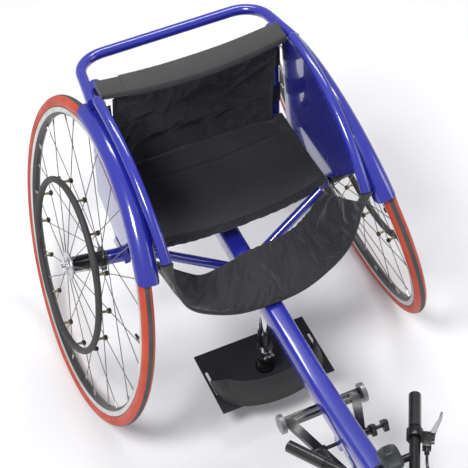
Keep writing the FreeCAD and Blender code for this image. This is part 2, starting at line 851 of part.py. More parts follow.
def push_bar_hoop(radius, beyond=0.0):
    """Hoop behind the back, from beside the side tubes' rear ends."""
    start_z = CAGE_TOP - PUSH_BELOW
    start = at(PUSH_START_X, PUSH_START + beyond, start_z)
    corner = at(PUSH_BACK_X, PUSH_BACK, start_z - PUSH_DROP)
    points = [start, corner, Vector(-corner.x, corner.y, corner.z), Vector(-start.x, start.y, start.z)]
    return bent_bar(points, [PUSH_BEND, PUSH_BEND], radius, TUBE_FACETS, PUSH_STEPS)


def push_bar():
    end_room = side_tube(SIDE_TUBE_R + SEAM)
    return push_bar_hoop(PUSH_TUBE_R).cut(end_room).cut(mirrored(end_room))


def push_bar_room():
    return push_bar_hoop(PUSH_TUBE_R + SEAM, SEAM)


def stay(radius):
    foot, head = STAY_FOOT, STAY_HEAD
    return bar(at(foot.x, foot.y, foot.z), at(head.x, head.y, head.z), radius)


def rail(radius):
    return bar(at(RAIL_X, POST_AHEAD, RAIL_Z), at(RAIL_X, RAIL_FRONT, RAIL_Z), radius)


def post(radius, beyond=0.0):
    foot, top = at(POST_X, POST_AHEAD, POST_FOOT - beyond), at(POST_X, POST_AHEAD, POST_TOP + beyond)
    return bar(foot, top, radius, POST_FACETS)


def strut_foot():
    return at(STRUT_FOOT.x, STRUT_FOOT.y, STRUT_FOOT.z)


def strut_head():
    return at(POST_X + 6.0, POST_AHEAD, POST_FOOT + 8.0)


def axle_tube_room():
    """Space that the strut's foot leaves for the cross tube, the socket and the gusset."""
    reach = axle_line(SOCKET_END).x + SOCKET_LAP + SEAM
    cross = bar(at(-reach, 0, AXLE_TUBE_Z), at(reach, 0, AXLE_TUBE_Z), AXLE_TUBE_R + SEAM)
    socket = bar(axle_line(SOCKET_END - SEAM), axle_line(SOCKET_START + SEAM), SOCKET_R + SEAM)
    depth = GUSSET_FOOT_HALF + SEAM
    plate = block(Vector(GUSSET_THICK + 2 * SEAM, 2 * depth, PANEL_FOOT_Z - GUSSET_FOOT_Z + 2 * SEAM),
                  at(SIDE_X + GUSSET_INSET + GUSSET_THICK / 2.0, 0, (PANEL_FOOT_Z + GUSSET_FOOT_Z) / 2.0))
    return cross.fuse(socket).fuse(plate)


def beam_room():
    """Space of the beam's straight part."""
    return block(Vector(BEAM_WIDTH + 2 * SEAM, 400.0, BEAM_HEIGHT + 2 * SEAM), at(0, 150.0, BEAM_Z))


def cage_side():
    """The separate tubes on one side, each coped to the one it is welded to."""
    post_room = post(POST_R + SEAM, SEAM)
    upright = post(POST_R).cut(push_bar_room())
    seat_rail = rail(RAIL_R).cut(post_room)
    strut = bar(strut_foot(), strut_head(), STRUT_R).cut(post_room)
    strut = strut.cut(axle_tube_room())
    outrigger = stay(STAY_R).cut(rail(RAIL_R + SEAM)).cut(beam_room())
    return [upright, seat_rail, strut, outrigger]


def cross_tube():
    height = RAIL_Z
    ends = [at(side * POST_X, POST_AHEAD, height) for side in (-1, 1)]
    room = post(POST_R + SEAM, SEAM)
    return bar(ends[0], ends[1], RAIL_R).cut(room).cut(mirrored(room))


def make_frame():
    make_beam()
    save("axle_tube", axle_tube())
    save_pair("side_tube", [side_tube()])
    save_pair("fender", [fender()])
    save_pair("side_panel", [side_panel()])
    save("push_bar", push_bar())
    tubes = cage_side()
    save("cage_tubes", *(tubes + [mirrored(tube) for tube in tubes] + [cross_tube()]))
    save("tube_plugs", tube_plug(), mirrored(tube_plug()))


# Upholstery

def bow(x, half):
    """One in the middle of a sling, falling to nothing at its sides."""
    return max(0.0, 1.0 - (x / half) ** 2)


def seat_section(x):
    """Sling that is level at its rear edge, dips in the middle and ends in a band folded down."""
    sag = bow(x, SEAT_SLUNG)
    level = RAIL_Z + RAIL_R + SEAM + CLOTH
    tail = SEAT_TAIL if abs(x) < BACK_HALF + 1.0 else SEAT_REAR - 8.0
    lip_z = level - SEAT_SAG * sag - 4.0 * min(1.0, 4.0 * sag)
    mid = (SEAT_REAR + SEAT_FRONT) / 2.0
    upper = [(tail, level), (max(SEAT_REAR - 12.0, tail + 1.0), level), (SEAT_REAR, level - 2.0 * sag),
             (SEAT_REAR + 40.0, level - 0.6 * SEAT_DIP * sag), (mid, level - SEAT_DIP * sag),
             (SEAT_FRONT, lip_z + 1.0)]
    band_foot = min(BAND_SIDE_Z - BAND_DROP * math.sqrt(sag), lip_z - CLOTH)
    if abs(x) > SEAT_SLUNG:
        band_foot = lip_z - 2.5
    outer = [(SEAT_LIP, lip_z - 1.0), (SEAT_LIP, band_foot)]
    inner = [(SEAT_LIP - CLOTH, band_foot), (SEAT_LIP - CLOTH, lip_z - CLOTH + 3.0)]
    under = [(ahead, z - CLOTH) for ahead, z in reversed(upper[:-1])]
    return [at(x, ahead, z) for ahead, z in upper + outer + inner + under]


def stations(half, count):
    return [half * (2.0 * i / (count - 1) - 1.0) for i in range(count)]


def clear_of_stays(shape):
    room = stay(STAY_R + SEAM).fuse(rail(RAIL_R + SEAM))
    return shape.cut(room).cut(mirrored(room))


def seat_sling():
    inner = stations(SEAT_SLUNG - 2.0, SEAT_STATIONS)
    outer = [SEAT_SLUNG + 1.5, SEAT_HALF]
    return skinned([seat_section(x) for x in [-outer[1], -outer[0]] + inner + outer])


def back_section(x):
    top_z = CAGE_TOP - BACK_BELOW_CAGE
    points = []
    for share in (0.0, 0.3, 0.6, 1.0):
        belly = BACK_BELLY * math.sin(math.pi * (0.15 + 0.7 * share)) * (0.4 + 0.6 * bow(x, BACK_HALF))
        ahead = BACK_TOP_AHEAD + (BACK_FOOT_AHEAD - BACK_TOP_AHEAD) * share - belly
        points.append((ahead, top_z + (BACK_FOOT_Z - top_z) * share))
    rear = [(ahead - CLOTH, z) for ahead, z in reversed(points)]
    return [at(x, ahead, z) for ahead, z in points + rear]


def back_upholstery():
    return skinned([back_section(x) for x in stations(BACK_HALF, BACK_STATIONS)])


def roll_section(x):
    """Flat padded top whose edges bow forwards in the middle, with a flap behind between the posts."""
    sag = bow(x, ROLL_HALF)
    high = CAGE_TOP + ROLL_OVER_CAGE - 6.0 * sag
    low = high - ROLL_THICK
    front, rear = ROLL_FRONT + ROLL_BOW * sag, ROLL_REAR + ROLL_REAR_BOW * sag
    foot = high - ROLL_FLAP if abs(x) < BACK_HALF else low + 1.0
    outline = [(front, low + 3), (front, high - 4), (front - 6, high), (rear + 8, high - 2),
               (rear, high - 8), (rear - 2, foot), (rear + 2, foot), (rear + 4, low), (front - 6, low)]
    return [at(x, ahead, z) for ahead, z in outline]


def back_roll():
    inner = stations(BACK_HALF - 1.0, ROLL_STATIONS)
    outer = [BACK_HALF + 2.5, ROLL_HALF]
    return skinned([roll_section(x) for x in [-outer[1], -outer[0]] + inner + outer])


def back_strap(height):
    """Webbing loop round a back post, with its tail sewn to the back's edge."""
    low = at(POST_X, POST_AHEAD, height - STRAP_WIDTH / 2.0)
    high = low + Vector(0, 0, STRAP_WIDTH)
    loop = bar(low, high, POST_R + SEAM + STRAP_THICK, POST_FACETS)
    tail_start = BACK_HALF + SEAM
    tail = block(Vector(POST_X - tail_start, STRAP_THICK, STRAP_WIDTH),
                 at((POST_X + tail_start) / 2.0, POST_AHEAD + POST_R + SEAM + STRAP_THICK / 2.0, height))
    return loop.fuse(tail).cut(bar(low, high, POST_R + SEAM, POST_FACETS))


# The front sling's rear and front edges, from the middle out to the side: x, ahead, height
SLING_REAR = ((0, 156, 376), (70, 158, 378), (120, 146, 383), (158, 126, 391), (184, 108, 402))
SLING_FRONT = ((0, 278, 360), (70, 272, 362), (128, 263, 384), (170, 258, 424), (193, 259, 528))
SLING_STATIONS = 9


def edge_curve(points):
    curve = Part.BSplineCurve()
    mirror_side = [at(-x, a, z) for x, a, z in reversed(points[1:])]
    curve.interpolate(mirror_side + [at(x, a, z) for x, a, z in points])
    return curve


def sling_section(share, rear_edge, front_edge):
    """Padded section between the two edges, at one share of their length from side to side."""
    rear = rear_edge.value(rear_edge.LastParameter * share)
    front = front_edge.value(front_edge.LastParameter * share)
    outward = abs(2.0 * share - 1.0)
    pouch = SLING_POUCH * math.sin(math.pi * min(1.0, outward ** 2)) + 4.0
    swell = 10.0 - 6.0 * outward
    level = Vector(0, 0, -pouch)
    near = rear + (front - rear) * 0.3 + level
    far = rear + (front - rear) * 0.65 + level
    lift, cloth = Vector(0, 0, swell), Vector(0, 0, -CLOTH)
    nose = Vector(0, -5.0, -5.0)
    return [rear, near + lift, far + lift, front, front + nose, front + cloth * 1.4, far + cloth,
            near + cloth, rear + cloth]


def front_sling():
    rear_edge, front_edge = edge_curve(SLING_REAR), edge_curve(SLING_FRONT)
    count = 2 * SLING_STATIONS
    sections = [sling_section(i / count, rear_edge, front_edge) for i in range(count + 1)]
    return clear_of_stays(skinned(sections))


def make_upholstery():
    save("seat_sling", seat_sling())
    save("back_upholstery", back_upholstery())
    save("back_roll", back_roll())
    straps = [back_strap(height) for height in STRAP_HEIGHTS]
    save("back_straps", *(straps + [mirrored(strap) for strap in straps]))
    save("front_sling", front_sling())


# Footrest

def plate_slot(side):
    middle = SLOT_START + SLOT_LENGTH / 2.0
    return block(Vector(SLOT_WIDTH, SLOT_LENGTH, 4 * PLATE_THICK), at(side * SLOT_X, middle, PLATE_Z))


def footplate():
    width, depth = 2 * PLATE_HALF, PLATE_FRONT - PLATE_REAR
    plate = block(Vector(width, depth, PLATE_THICK),
                  at(0, (PLATE_FRONT + PLATE_REAR) / 2.0, PLATE_Z - PLATE_THICK / 2.0))
    return plate.cut(plate_slot(-1)).cut(plate_slot(1))


def foot_base():
    profile = [(0.0, BASE_R), (4.0, BASE_R), (11.0, BASE_R - 3.0), (17.0, BASE_R - 8.0), (20.0, SLEEVE_R),
               (BASE_LENGTH, SLEEVE_R)]
    foot = at(0, FOOT_AHEAD, PLATE_Z + SEAM)
    return stack(foot, foot + Vector(0, 0, BASE_LENGTH), profile, HUB_FACETS)


def sleeve_bottom():
    return PLATE_Z + BASE_LENGTH + 2.0 * SEAM


def footrest_post():
    foot = at(0, FOOT_AHEAD, sleeve_bottom())
    top = foot + Vector(0, 0, SLEEVE_LENGTH)
    return bar(foot, top, SLEEVE_R, HUB_FACETS).cut(rod(foot + Vector(0, 0, 6.0), top, STEM_R + AXLE_FIT))


def footrest_collar():
    """Split clamp ring round the sleeve, with a screw across its two ears."""
    low = at(0, FOOT_AHEAD, sleeve_bottom() + COLLAR_LIFT)
    high = low + Vector(0, 0, COLLAR_LENGTH)
    middle = (low + high) * 0.5
    ears = block(Vector(16, 13, COLLAR_LENGTH - 4), middle - Vector(0, COLLAR_R + 2, 0))
    split = block(Vector(COLLAR_GAP, 40, COLLAR_LENGTH + 2), middle - Vector(0, 26, 0))
    ring = bar(low, high, COLLAR_R, HUB_FACETS).fuse(ears).cut(split)
    ring = ring.cut(bar(low, high, SLEEVE_R + 0.1, HUB_FACETS))
    screw = middle - Vector(0, COLLAR_R + 4, 0)
    return ring.fuse(bar(screw - Vector(11, 0, 0), screw + Vector(11, 0, 0), 2.5, 6))


def strap_station(share, drop=0.0):
    """Band of the toe strap: upright in the middle, turned down into a slot at each end."""
    swing = max(0.0, math.cos(share * math.pi / 2.0))
    x = SLOT_X * math.sin(share * math.pi / 2.0)
    reach = swing ** 0.8
    slot_end = SLOT_START + SLOT_LENGTH - 6.0
    rear = STRAP_FILL + (STRAP_TOP_AHEAD - STRAP_FILL) * reach
    front = slot_end + (STRAP_REACH - slot_end) * reach
    lift = PLATE_Z + SEAM
    top = lift + WEB_WIDTH * min(1.0, 1.6 * reach)
    side = -WEB_THICK / 2.0 if x >= 0 else WEB_THICK / 2.0
    inward = Vector(side * abs(math.sin(share * math.pi / 2.0)), WEB_THICK / 2.0 * swing, 0)
    upper = at(x, rear, max(top, lift + WEB_THICK) - drop)
    lower = at(x, front, lift - drop)
    return [upper - inward, upper + inward, lower + inward, lower - inward]


def foot_strap():
    shares = [step / STRAP_STEPS for step in range(-STRAP_STEPS, STRAP_STEPS + 1)]
    band = [strap_station(share) for share in shares]
    return skinned([strap_station(-1.0, TUCK)] + band + [strap_station(1.0, TUCK)])


def make_footrest():
    top = at(0, FOOT_AHEAD, beam_centre(FOOT_AHEAD) - BEAM_HEIGHT / 2.0 - SEAM)
    save("footrest_stem", rod(top, top - Vector(0, 0, STEM_LENGTH), STEM_R))
    save("footrest_post", footrest_post())
    save("footrest_collar", footrest_collar())
    save("footrest_base", foot_base())
    save("footplate", footplate())
    save("foot_strap", foot_strap())


# Compensator

def comp_point(x, back, lift):
    """A point in the compensator's plane, which slopes up towards the occupant."""
    slope = math.radians(COMP_SLOPE)
    return at(x, COMP_AHEAD - back * math.cos(slope) + lift * math.sin(slope),
              COMP_Z + back * math.sin(slope) + lift * math.cos(slope))


def comp_slab(outline, thick=COMP_THICK):
    points = [comp_point(x, back, -thick / 2.0) for x, back in outline]
    up = comp_point(0, 0, 1) - comp_point(0, 0, 0)
    return flat(points).extrude(up * thick)


def comp_bar():
    """Slotted cross bar that the palms push to one side or the other."""
    half = COMP_BAR / 2.0
    wide, slot = COMP_HALF + half, COMP_HALF - 14.0
    whole = comp_slab([(-wide, COMP_BACK - half), (wide, COMP_BACK - half),
                       (wide, COMP_BACK + half), (-wide, COMP_BACK + half)])
    near, far = COMP_BACK - BAR_SLOT, COMP_BACK + BAR_SLOT
    return whole.cut(comp_slab([(-slot, near), (slot, near), (slot, far), (-slot, far)], COMP_THICK + 2.0))


def damper_lug():
    """Ear beside the pivot with the stud that the damper turns on."""
    lug = comp_slab([(4, -10), (DAMPER_X - 8, -22), (DAMPER_X + 8, -22), (DAMPER_X + 8, -8), (12, 8)])
    return lug.fuse(rod(comp_point(DAMPER_X, LUG_BACK, 0),
                        comp_point(DAMPER_X, LUG_BACK, COMP_THICK / 2.0 + EYE_HEIGHT + 1.5), LUG_PIN_R))


def compensator_frame():
    half = COMP_BAR / 2.0
    thick = COMP_THICK / 2.0
    yoke = bar(comp_point(0, 0, -thick), comp_point(0, 0, thick), YOKE_R, HUB_FACETS)
    corners = [(COMP_HALF - half, COMP_BACK), (COMP_HALF + half, COMP_BACK), (14, 6), (0, 0), (3, 18)]
    arm = comp_slab(corners)
    reach = BOSS_LENGTH / 2.0
    boss = bar(comp_point(BOSS_X - reach, BOSS_BACK, 0), comp_point(BOSS_X + reach, BOSS_BACK, 0), BOSS_R)
    side = arm.fuse(boss)
    whole = comp_bar().fuse(yoke).fuse(side).fuse(mirrored(side)).fuse(damper_lug())
    whole = whole.cut(rod(comp_point(0, 0, -COMP_THICK), comp_point(0, 0, COMP_THICK), PIVOT_R + AXLE_FIT))
    ends = [comp_point(side * 2 * COMP_HALF, BOSS_BACK, 0) for side in (-1, 1)]
    return whole.cut(rod(ends[0], ends[1], SCREW_R + AXLE_FIT))


def comp_pad(side):
    start = comp_point(side * (COMP_HALF + COMP_BAR / 2.0 + SEAM), COMP_BACK, 0)
    return bar(start, start + Vector(side * PAD_THICK, 0, 0), PAD_R, PAD_FACETS)


def knob(start_x, side):
    """Three-lobed thumb knob whose flat face starts at start_x."""
    outline = []
    for corner in range(KNOB_CORNERS):
        angle = 2.0 * math.pi * corner / KNOB_CORNERS
        radius = KNOB_R + LOBE * math.cos(3.0 * (angle - math.pi / 2.0))
        back, lift = BOSS_BACK + radius * math.cos(angle), radius * math.sin(angle)
        outline.append(comp_point(side * start_x, back, lift))
    return flat(outline).extrude(Vector(side * KNOB_THICK, 0, 0))


def shank_way(start_x, side):
    out = Vector(side * KNOB_THICK, 0, 0)
    near = comp_point(side * start_x, BOSS_BACK, 0)
    return rod(near - out, near + out * 2, SCREW_R + AXLE_FIT)


def swing_room():
    return BOSS_BACK * math.sin(math.radians(COMP_SWING))


def make_compensator():
    save("compensator_frame", compensator_frame())
    save("compensator_pads", comp_pad(1), comp_pad(-1))
    boss_end = BOSS_X + BOSS_LENGTH / 2.0 + SEAM
    stop = FIN_THICK / 2.0 + SEAM
    right_tip = stop + swing_room() + 1.0
    knob_right = boss_end
    knob_left = boss_end + KNOB_THICK + 16.0
    tip_plus = comp_point(right_tip, BOSS_BACK, 0)
    tip_minus = comp_point(-stop, BOSS_BACK, 0)
    shank_plus = rod(tip_plus, comp_point(knob_left + KNOB_THICK, BOSS_BACK, 0), SCREW_R)
    shank_minus = rod(tip_minus, comp_point(-knob_right - KNOB_THICK, BOSS_BACK, 0), SCREW_R)
    save("stop_screw_left", shank_plus.fuse(knob(knob_left, 1)))
    save("stop_screw_right", shank_minus.fuse(knob(knob_right, -1)))
    save("lock_knob_left", knob(knob_right, 1).cut(shank_way(knob_right, 1)))


# Steering

def bar_point(share, side=1):
    root = at(side * BAR_ROOT_X, HEAD_AHEAD - BAR_ROOT_BEHIND, BAR_ROOT_Z)
    grip = at(side * GRIP_X, HEAD_AHEAD - GRIP_BEHIND, GRIP_Z)
    return grip + (root - grip) * share


def stem_neck():
    """Neck from the bars' yoke to the clamp on the steerer."""
    half = STEM_NECK_HALF
    corners = ((-half, -1), (half, -1), (half, 1), (-half, 1))
    rear = [at(x, HEAD_AHEAD - BAR_ROOT_BEHIND, BAR_ROOT_Z + side * (half - 3.0)) for x, side in corners]
    front = [axis_point(STEM_UP + side * (half - 1.0), x) for x, side in corners]
    return skinned([rear, front])


def handlebar():
    """Two arms that close towards the stem, a cross bar and the stem on the steerer."""
    clamp, wall = STEM_CLAMP_HALF, STEM_CLAMP_WALL
    whole = bar(axis_point(STEM_UP - clamp), axis_point(STEM_UP + clamp), STEERER_R + wall, HUB_FACETS)
    for side in (1, -1):
        whole = whole.fuse(bar(bar_point(0.02, side), bar_point(1.0, side), BAR_R))
    whole = whole.fuse(bar(bar_point(CROSS_SHARE, -1), bar_point(CROSS_SHARE, 1), CROSS_R))
    whole = whole.fuse(bar(bar_point(1.0, -1), bar_point(1.0, 1), BAR_R + 3.0)).fuse(stem_neck())
    cup_top = HEAD_LENGTH / 2.0 + CUP_LENGTH + SEAM
    cup_reach = CUP_R / math.cos(math.pi / HUB_FACETS)
    whole = whole.cut(rod(axis_point(0), axis_point(cup_top), cup_reach + RUNNING_GAP))
    bore = 3.0 * clamp
    return whole.cut(rod(axis_point(STEM_UP - bore), axis_point(STEM_UP + bore), STEERER_R + 0.1))


def grip(side):
    start = bar_point(0.0, side)
    end = start + (bar_point(1.0, side) - start).normalize() * GRIP_LENGTH
    room = bar(bar_point(0.02, side) - (end - start).normalize() * SEAM, end + (end - start), BAR_R + SEAM)
    return bar(start, end, GRIP_R).cut(room)


def fork_blade(side):
    root = axis_point(crown_level(), side * BLADE_X)
    tip = at(side * BLADE_X, WHEELBASE, FRONT_RADIUS)
    blade = stack(root, tip, [(0.0, BLADE_R), ((tip - root).Length, BLADE_TIP_R)], SMALL_FACETS)
    eye = bar(tip - Vector(side * 6.0, 0, 0), tip + Vector(side * 9.0, 0, 0), BLADE_EYE_R, HUB_FACETS)
    inner = at(side * (FRONT_HUB_HALF + RUNNING_GAP), WHEELBASE, FRONT_RADIUS)
    return blade.fuse(eye).fuse(bar(inner, tip, FRONT_AXLE_R + 2.5))


def crown_level():
    return -CROWN_DOWN - 4.0


def fork():
    """Steerer, crown and two tapered blades, with the axle between their tips."""
    half = HEAD_LENGTH / 2.0 + CUP_LENGTH
    steerer = rod(axis_point(-CROWN_DOWN), axis_point(STEM_UP + 16.0), STEERER_R)
    race = bar(axis_point(-CROWN_DOWN), axis_point(-half - SEAM), CUP_R - 2.0, HUB_FACETS)
    crown = bar(axis_point(crown_level(), -BLADE_X), axis_point(crown_level(), BLADE_X), BLADE_R + 2.2)
    whole = steerer.fuse(race).fuse(crown).fuse(fork_blade(1)).fuse(fork_blade(-1))
    ends = [at(side * BLADE_X, WHEELBASE, FRONT_RADIUS) for side in (-1, 1)]
    return whole.fuse(rod(ends[0], ends[1], FRONT_AXLE_R)).fuse(damper_tab())


def tab_point(lift=0.0):
    return axis_point(-CROWN_DOWN - 22.0 + lift, DAMPER_X, 0)


def damper_tab():
    return block(Vector(14, 16, 18), tab_point(9.0), Rotation(Vector(1, 0, 0), -HEAD_LEAN))


def damper_line():
    start = comp_point(DAMPER_X, LUG_BACK, COMP_THICK / 2.0 + EYE_HEIGHT / 2.0 + SEAM)
    end = tab_point(-ROD_EYE_R - ROD_GAP)
    return start, end


def damper_cylinder():
    """Cylinder with its rear eye on the compensator's stud, bored for the rod."""
    start, end = damper_line()
    along = (end - start).normalize()
    body_end = start + along * damper_split()
    foot = comp_point(DAMPER_X, LUG_BACK, COMP_THICK / 2.0 + SEAM)
    up = comp_point(0, 0, 1) - comp_point(0, 0, 0)
    eye = bar(foot, foot + up * EYE_HEIGHT, EYE_R).fuse(bar(start, start + along * 9.0, NECK_R))
    body = bar(start + along * 8.0, body_end, DAMPER_R).fuse(eye)
    body = body.cut(rod(foot - up, foot + up * (EYE_HEIGHT + 1.0), LUG_PIN_R + AXLE_FIT))
    return body.cut(rod(body_end - along * (2.0 * DAMPER_STROKE + 22.0), body_end, DAMPER_ROD_R + AXLE_FIT))


def damper_split():
    """Length from the stud to the end of the cylinder."""
    start, end = damper_line()
    return (end - start).Length * 0.58


def damper_rod():
    start, end = damper_line()
    along = (end - start).normalize()
    inner = start + along * (damper_split() - DAMPER_STROKE - 20.0)
    up = axis_point(1.0) - axis_point(0.0)
    eye = bar(end - up * ROD_EYE_R, end + up * ROD_EYE_R, ROD_EYE_R, SMALL_FACETS)
    return rod(inner, end, DAMPER_ROD_R).fuse(eye)


def make_damper():
    save("damper_cylinder", damper_cylinder())
    save("damper_rod", damper_rod())


# Brake, on the left grip's bar and at the fork crown

def lever_frame():
    """Origin on the bar's line beside the lever, X along the bar forwards, Y outboard, Z up."""
    origin = bar_point(LEVER_SHARE, 1)
    along = (bar_point(1.0, 1) - bar_point(0.0, 1)).normalize()
    outboard = along.cross(Vector(0, 0, 1)).normalize() * -1.0
    if outboard.x < 0:
        outboard = outboard * -1.0
    return Placement(origin, Rotation(along, outboard, along.cross(outboard), "XYZ"))


def brake_clamp():
    half = CLAMP_LENGTH / 2.0
    out = BAR_R + CLAMP_BODY_OUT
    clamp = bar(Vector(-half, 0, 0), Vector(half, 0, 0), BAR_R + CLAMP_WALL, SMALL_FACETS)
    body = block(Vector(34, 15, 14), Vector(13, out, 0))
    barrel = bar(Vector(BARREL_END - 12, out, 0), Vector(BARREL_END, out, 0), 4.5, SMALL_FACETS)
    ear = block(Vector(14, 14, 14), Vector(6, LEVER_PIVOT_OUT, 0))
    whole = clamp.fuse(body).fuse(ear).fuse(barrel)
    slot = block(Vector(40, 18, 5.6), Vector(2, LEVER_PIVOT_OUT + 3, 0))
    pin = rod(Vector(6, LEVER_PIVOT_OUT, -6), Vector(6, LEVER_PIVOT_OUT, 6), 2.4)
    whole = whole.cut(slot).fuse(pin)
    room = bar(Vector(-2 * half, 0, 0), Vector(4 * half, 0, 0), BAR_R + 2 * SEAM, SMALL_FACETS)
    whole = whole.cut(room)
    return placed(whole, lever_frame())


def brake_lever():
    pivot = Vector(6, LEVER_PIVOT_OUT, 0)
    outline = [(8, -5), (8, 5), (-4, 8), (-22, 12), (-46, 20), (-62, 22), (-63, 18), (-46, 14), (-22, 3),
               (-6, -4)]
    points = [pivot + Vector(x, y, -2.3) for x, y in outline]
    blade = Part.Face(Part.makePolygon(points + points[:1])).extrude(Vector(0, 0, 4.6))
    blade = blade.cut(rod(pivot - Vector(0, 0, 5), pivot + Vector(0, 0, 5), 2.45))
    return placed(blade, lever_frame())


def brake_frame():
    """Origin at the fork crown, X towards the front axle, Z across the chair, Y completing it."""
    crown = axis_point(-CROWN_DOWN - 4)
    axle = at(0, WHEELBASE, FRONT_RADIUS)
    inward = (axle - crown).normalize()
    across = Vector(1, 0, 0)
    return Placement(crown, Rotation(inward, across.cross(inward), across, "XZY"))


def upward(frame):
    return 1.0 if frame.Rotation.multVec(Vector(0, 1, 0)).z > 0 else -1.0


def arm_level(side):
    """Height of an arm's middle over the crown's middle line: the left arm lies on the right one."""
    lower = ARM_CLEAR + ARM_THICK / 2.0
    return lower + (ARM_THICK + 2 * SEAM if side > 0 else 0.0)


def caliper_arm(side):
    """Arm that turns on the brake bolt and carries a pad beside the rim."""
    frame = brake_frame()
    level = upward(frame) * arm_level(side)
    reach = (at(0, WHEELBASE, FRONT_RADIUS) - axis_point(-CROWN_DOWN - 4)).Length - RIM_REACH + 5.0
    hub = BRAKE_OUT
    outline = [(hub - 7, -6), (hub + 7, -6), (hub + 8, 4), (hub + 15, 15.5), (reach + 4, 15.5),
               (reach + 4, 22), (hub + 12, 23), (hub, 30), (hub - 8, 29), (hub - 7, 10)]
    points = [Vector(x, level - ARM_THICK / 2.0, side * z) for x, z in outline]
    arm = Part.Face(Part.makePolygon(points + points[:1])).extrude(Vector(0, ARM_THICK, 0))
    arm = arm.cut(rod(Vector(hub, level - 9, 0), Vector(hub, level + 9, 0), BOLT_R + AXLE_FIT))
    low, high = min(-4.0 * upward(frame), level), max(-4.0 * upward(frame), level)
    drop = Part.makeBox(10, high - low, 6, Vector(reach - 6, low, side * 18.5 - 3))
    pad = Part.makeBox(9, 30, 5, Vector(reach - 5.5, -15, side * 13.0 - 2.5))
    pad = pad.cut(arm)
    return placed(arm.fuse(drop), frame), placed(pad, frame)


def caliper_bolt():
    """Lug in front of the crown with the bolt that both arms turn on."""
    frame = brake_frame()
    up = upward(frame)
    thick = ARM_CLEAR - SEAM
    lug = Part.makeBox(BRAKE_OUT + 9.0, 2 * thick, 18.0, Vector(0, -thick, -9.0))
    top = arm_level(1) + ARM_THICK / 2.0
    bolt = rod(Vector(BRAKE_OUT, 0, 0), Vector(BRAKE_OUT, up * (top + 5.0), 0), BOLT_R)
    nut_start, nut_end = Vector(BRAKE_OUT, up * (top + SEAM), 0), Vector(BRAKE_OUT, up * (top + 5.0), 0)
    nut = bar(nut_start, nut_end, BOLT_R + 2.5, 6)
    return placed(lug.fuse(bolt).fuse(nut), frame)


def cable_end(lift, back=0.0):
    """A point over the left arm's outer end, lifted and set back towards the crown."""
    frame = brake_frame()
    level = arm_level(1) + ARM_THICK / 2.0 + SEAM + lift
    return frame.multVec(Vector(BRAKE_OUT - 2 - back, upward(frame) * level, 25))


def brake_cable():
    """Cable from the lever's barrel round the head to the caliper, held at both ends."""
    start = lever_frame().multVec(Vector(BARREL_END + SEAM, BAR_R + CLAMP_BODY_OUT, 0))
    along = lever_frame().Rotation.multVec(Vector(1, 0, 0))
    beside = [at(60, HEAD_AHEAD - 68.0, 412), at(46, HEAD_AHEAD - 10.0, 398)]
    points = [start, start + along * 30.0] + beside
    points += [cable_end(56.0, 26.0), cable_end(30.0), cable_end(0.0)]
    radii = []
    for index in range(1, len(points) - 1):
        before, after = points[index] - points[index - 1], points[index + 1] - points[index]
        shorter = min(before.Length, after.Length)
        radii.append(0.45 * shorter / math.tan(before.getAngle(after) / 2.0))
    print("cable radii", [round(radius, 1) for radius in radii])
    return bent_bar(points, radii, CABLE_R, CABLE_FACETS, CABLE_STEPS)


# Cycle computer on the cross bar

def computer_frame():
    centre = (bar_point(CROSS_SHARE, 1) + bar_point(CROSS_SHARE, -1)) * 0.5
    return Placement(centre + Vector(9, 0, 0), Rotation(Vector(1, 0, 0), 12.0))


def computer_case():
    """Rounded case over the cross bar, with a sunk screen and a well for its button."""
    lift = CROSS_R + 5.0
    outline = [Vector(x, y + 4.0, lift) for x, y in rounded_outline(36.0, 46.0, 10.0)]
    case = flat(outline).extrude(Vector(0, 0, 12.0))
    saddle = block(Vector(18, 18, lift), Vector(0, 0, lift / 2.0))
    case = case.cut(rod(Vector(0, 19, lift + 9.0), Vector(0, 19, lift + 13.0), 5.2))
    screen = block(Vector(24, 20, 2.0), Vector(0, -2, lift + 12.0))
    ends = Vector(40, 0, 0)
    whole = case.cut(screen).fuse(saddle).cut(bar(ends * -1.0, ends, CROSS_R + SEAM))
    return placed(whole, computer_frame())


def computer_button():
    low = Vector(0, 19, CROSS_R + 15.4)
    return placed(bar(low, low + Vector(0, 0, 2.6), 4.7, SMALL_FACETS), computer_frame())


def make_steering():
    save("fork", fork().fuse(caliper_bolt()))
    save("handlebar", handlebar())
    save("grips", grip(1), grip(-1))
    save("brake_clamp", brake_clamp())
    save("brake_lever", brake_lever())
    save("caliper_left", *caliper_arm(1))
    save("caliper_right", *caliper_arm(-1))
    save("brake_cable", brake_cable())
    save("computer", computer_case())
    save("computer_button", computer_button())


make_frame()
make_rear_wheels()
make_front_wheel()
make_upholstery()
make_footrest()
make_compensator()
make_damper()
make_steering()
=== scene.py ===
import json
import math

import bmesh
import bpy
import numpy as np
from mathutils import Matrix, Vector, noise


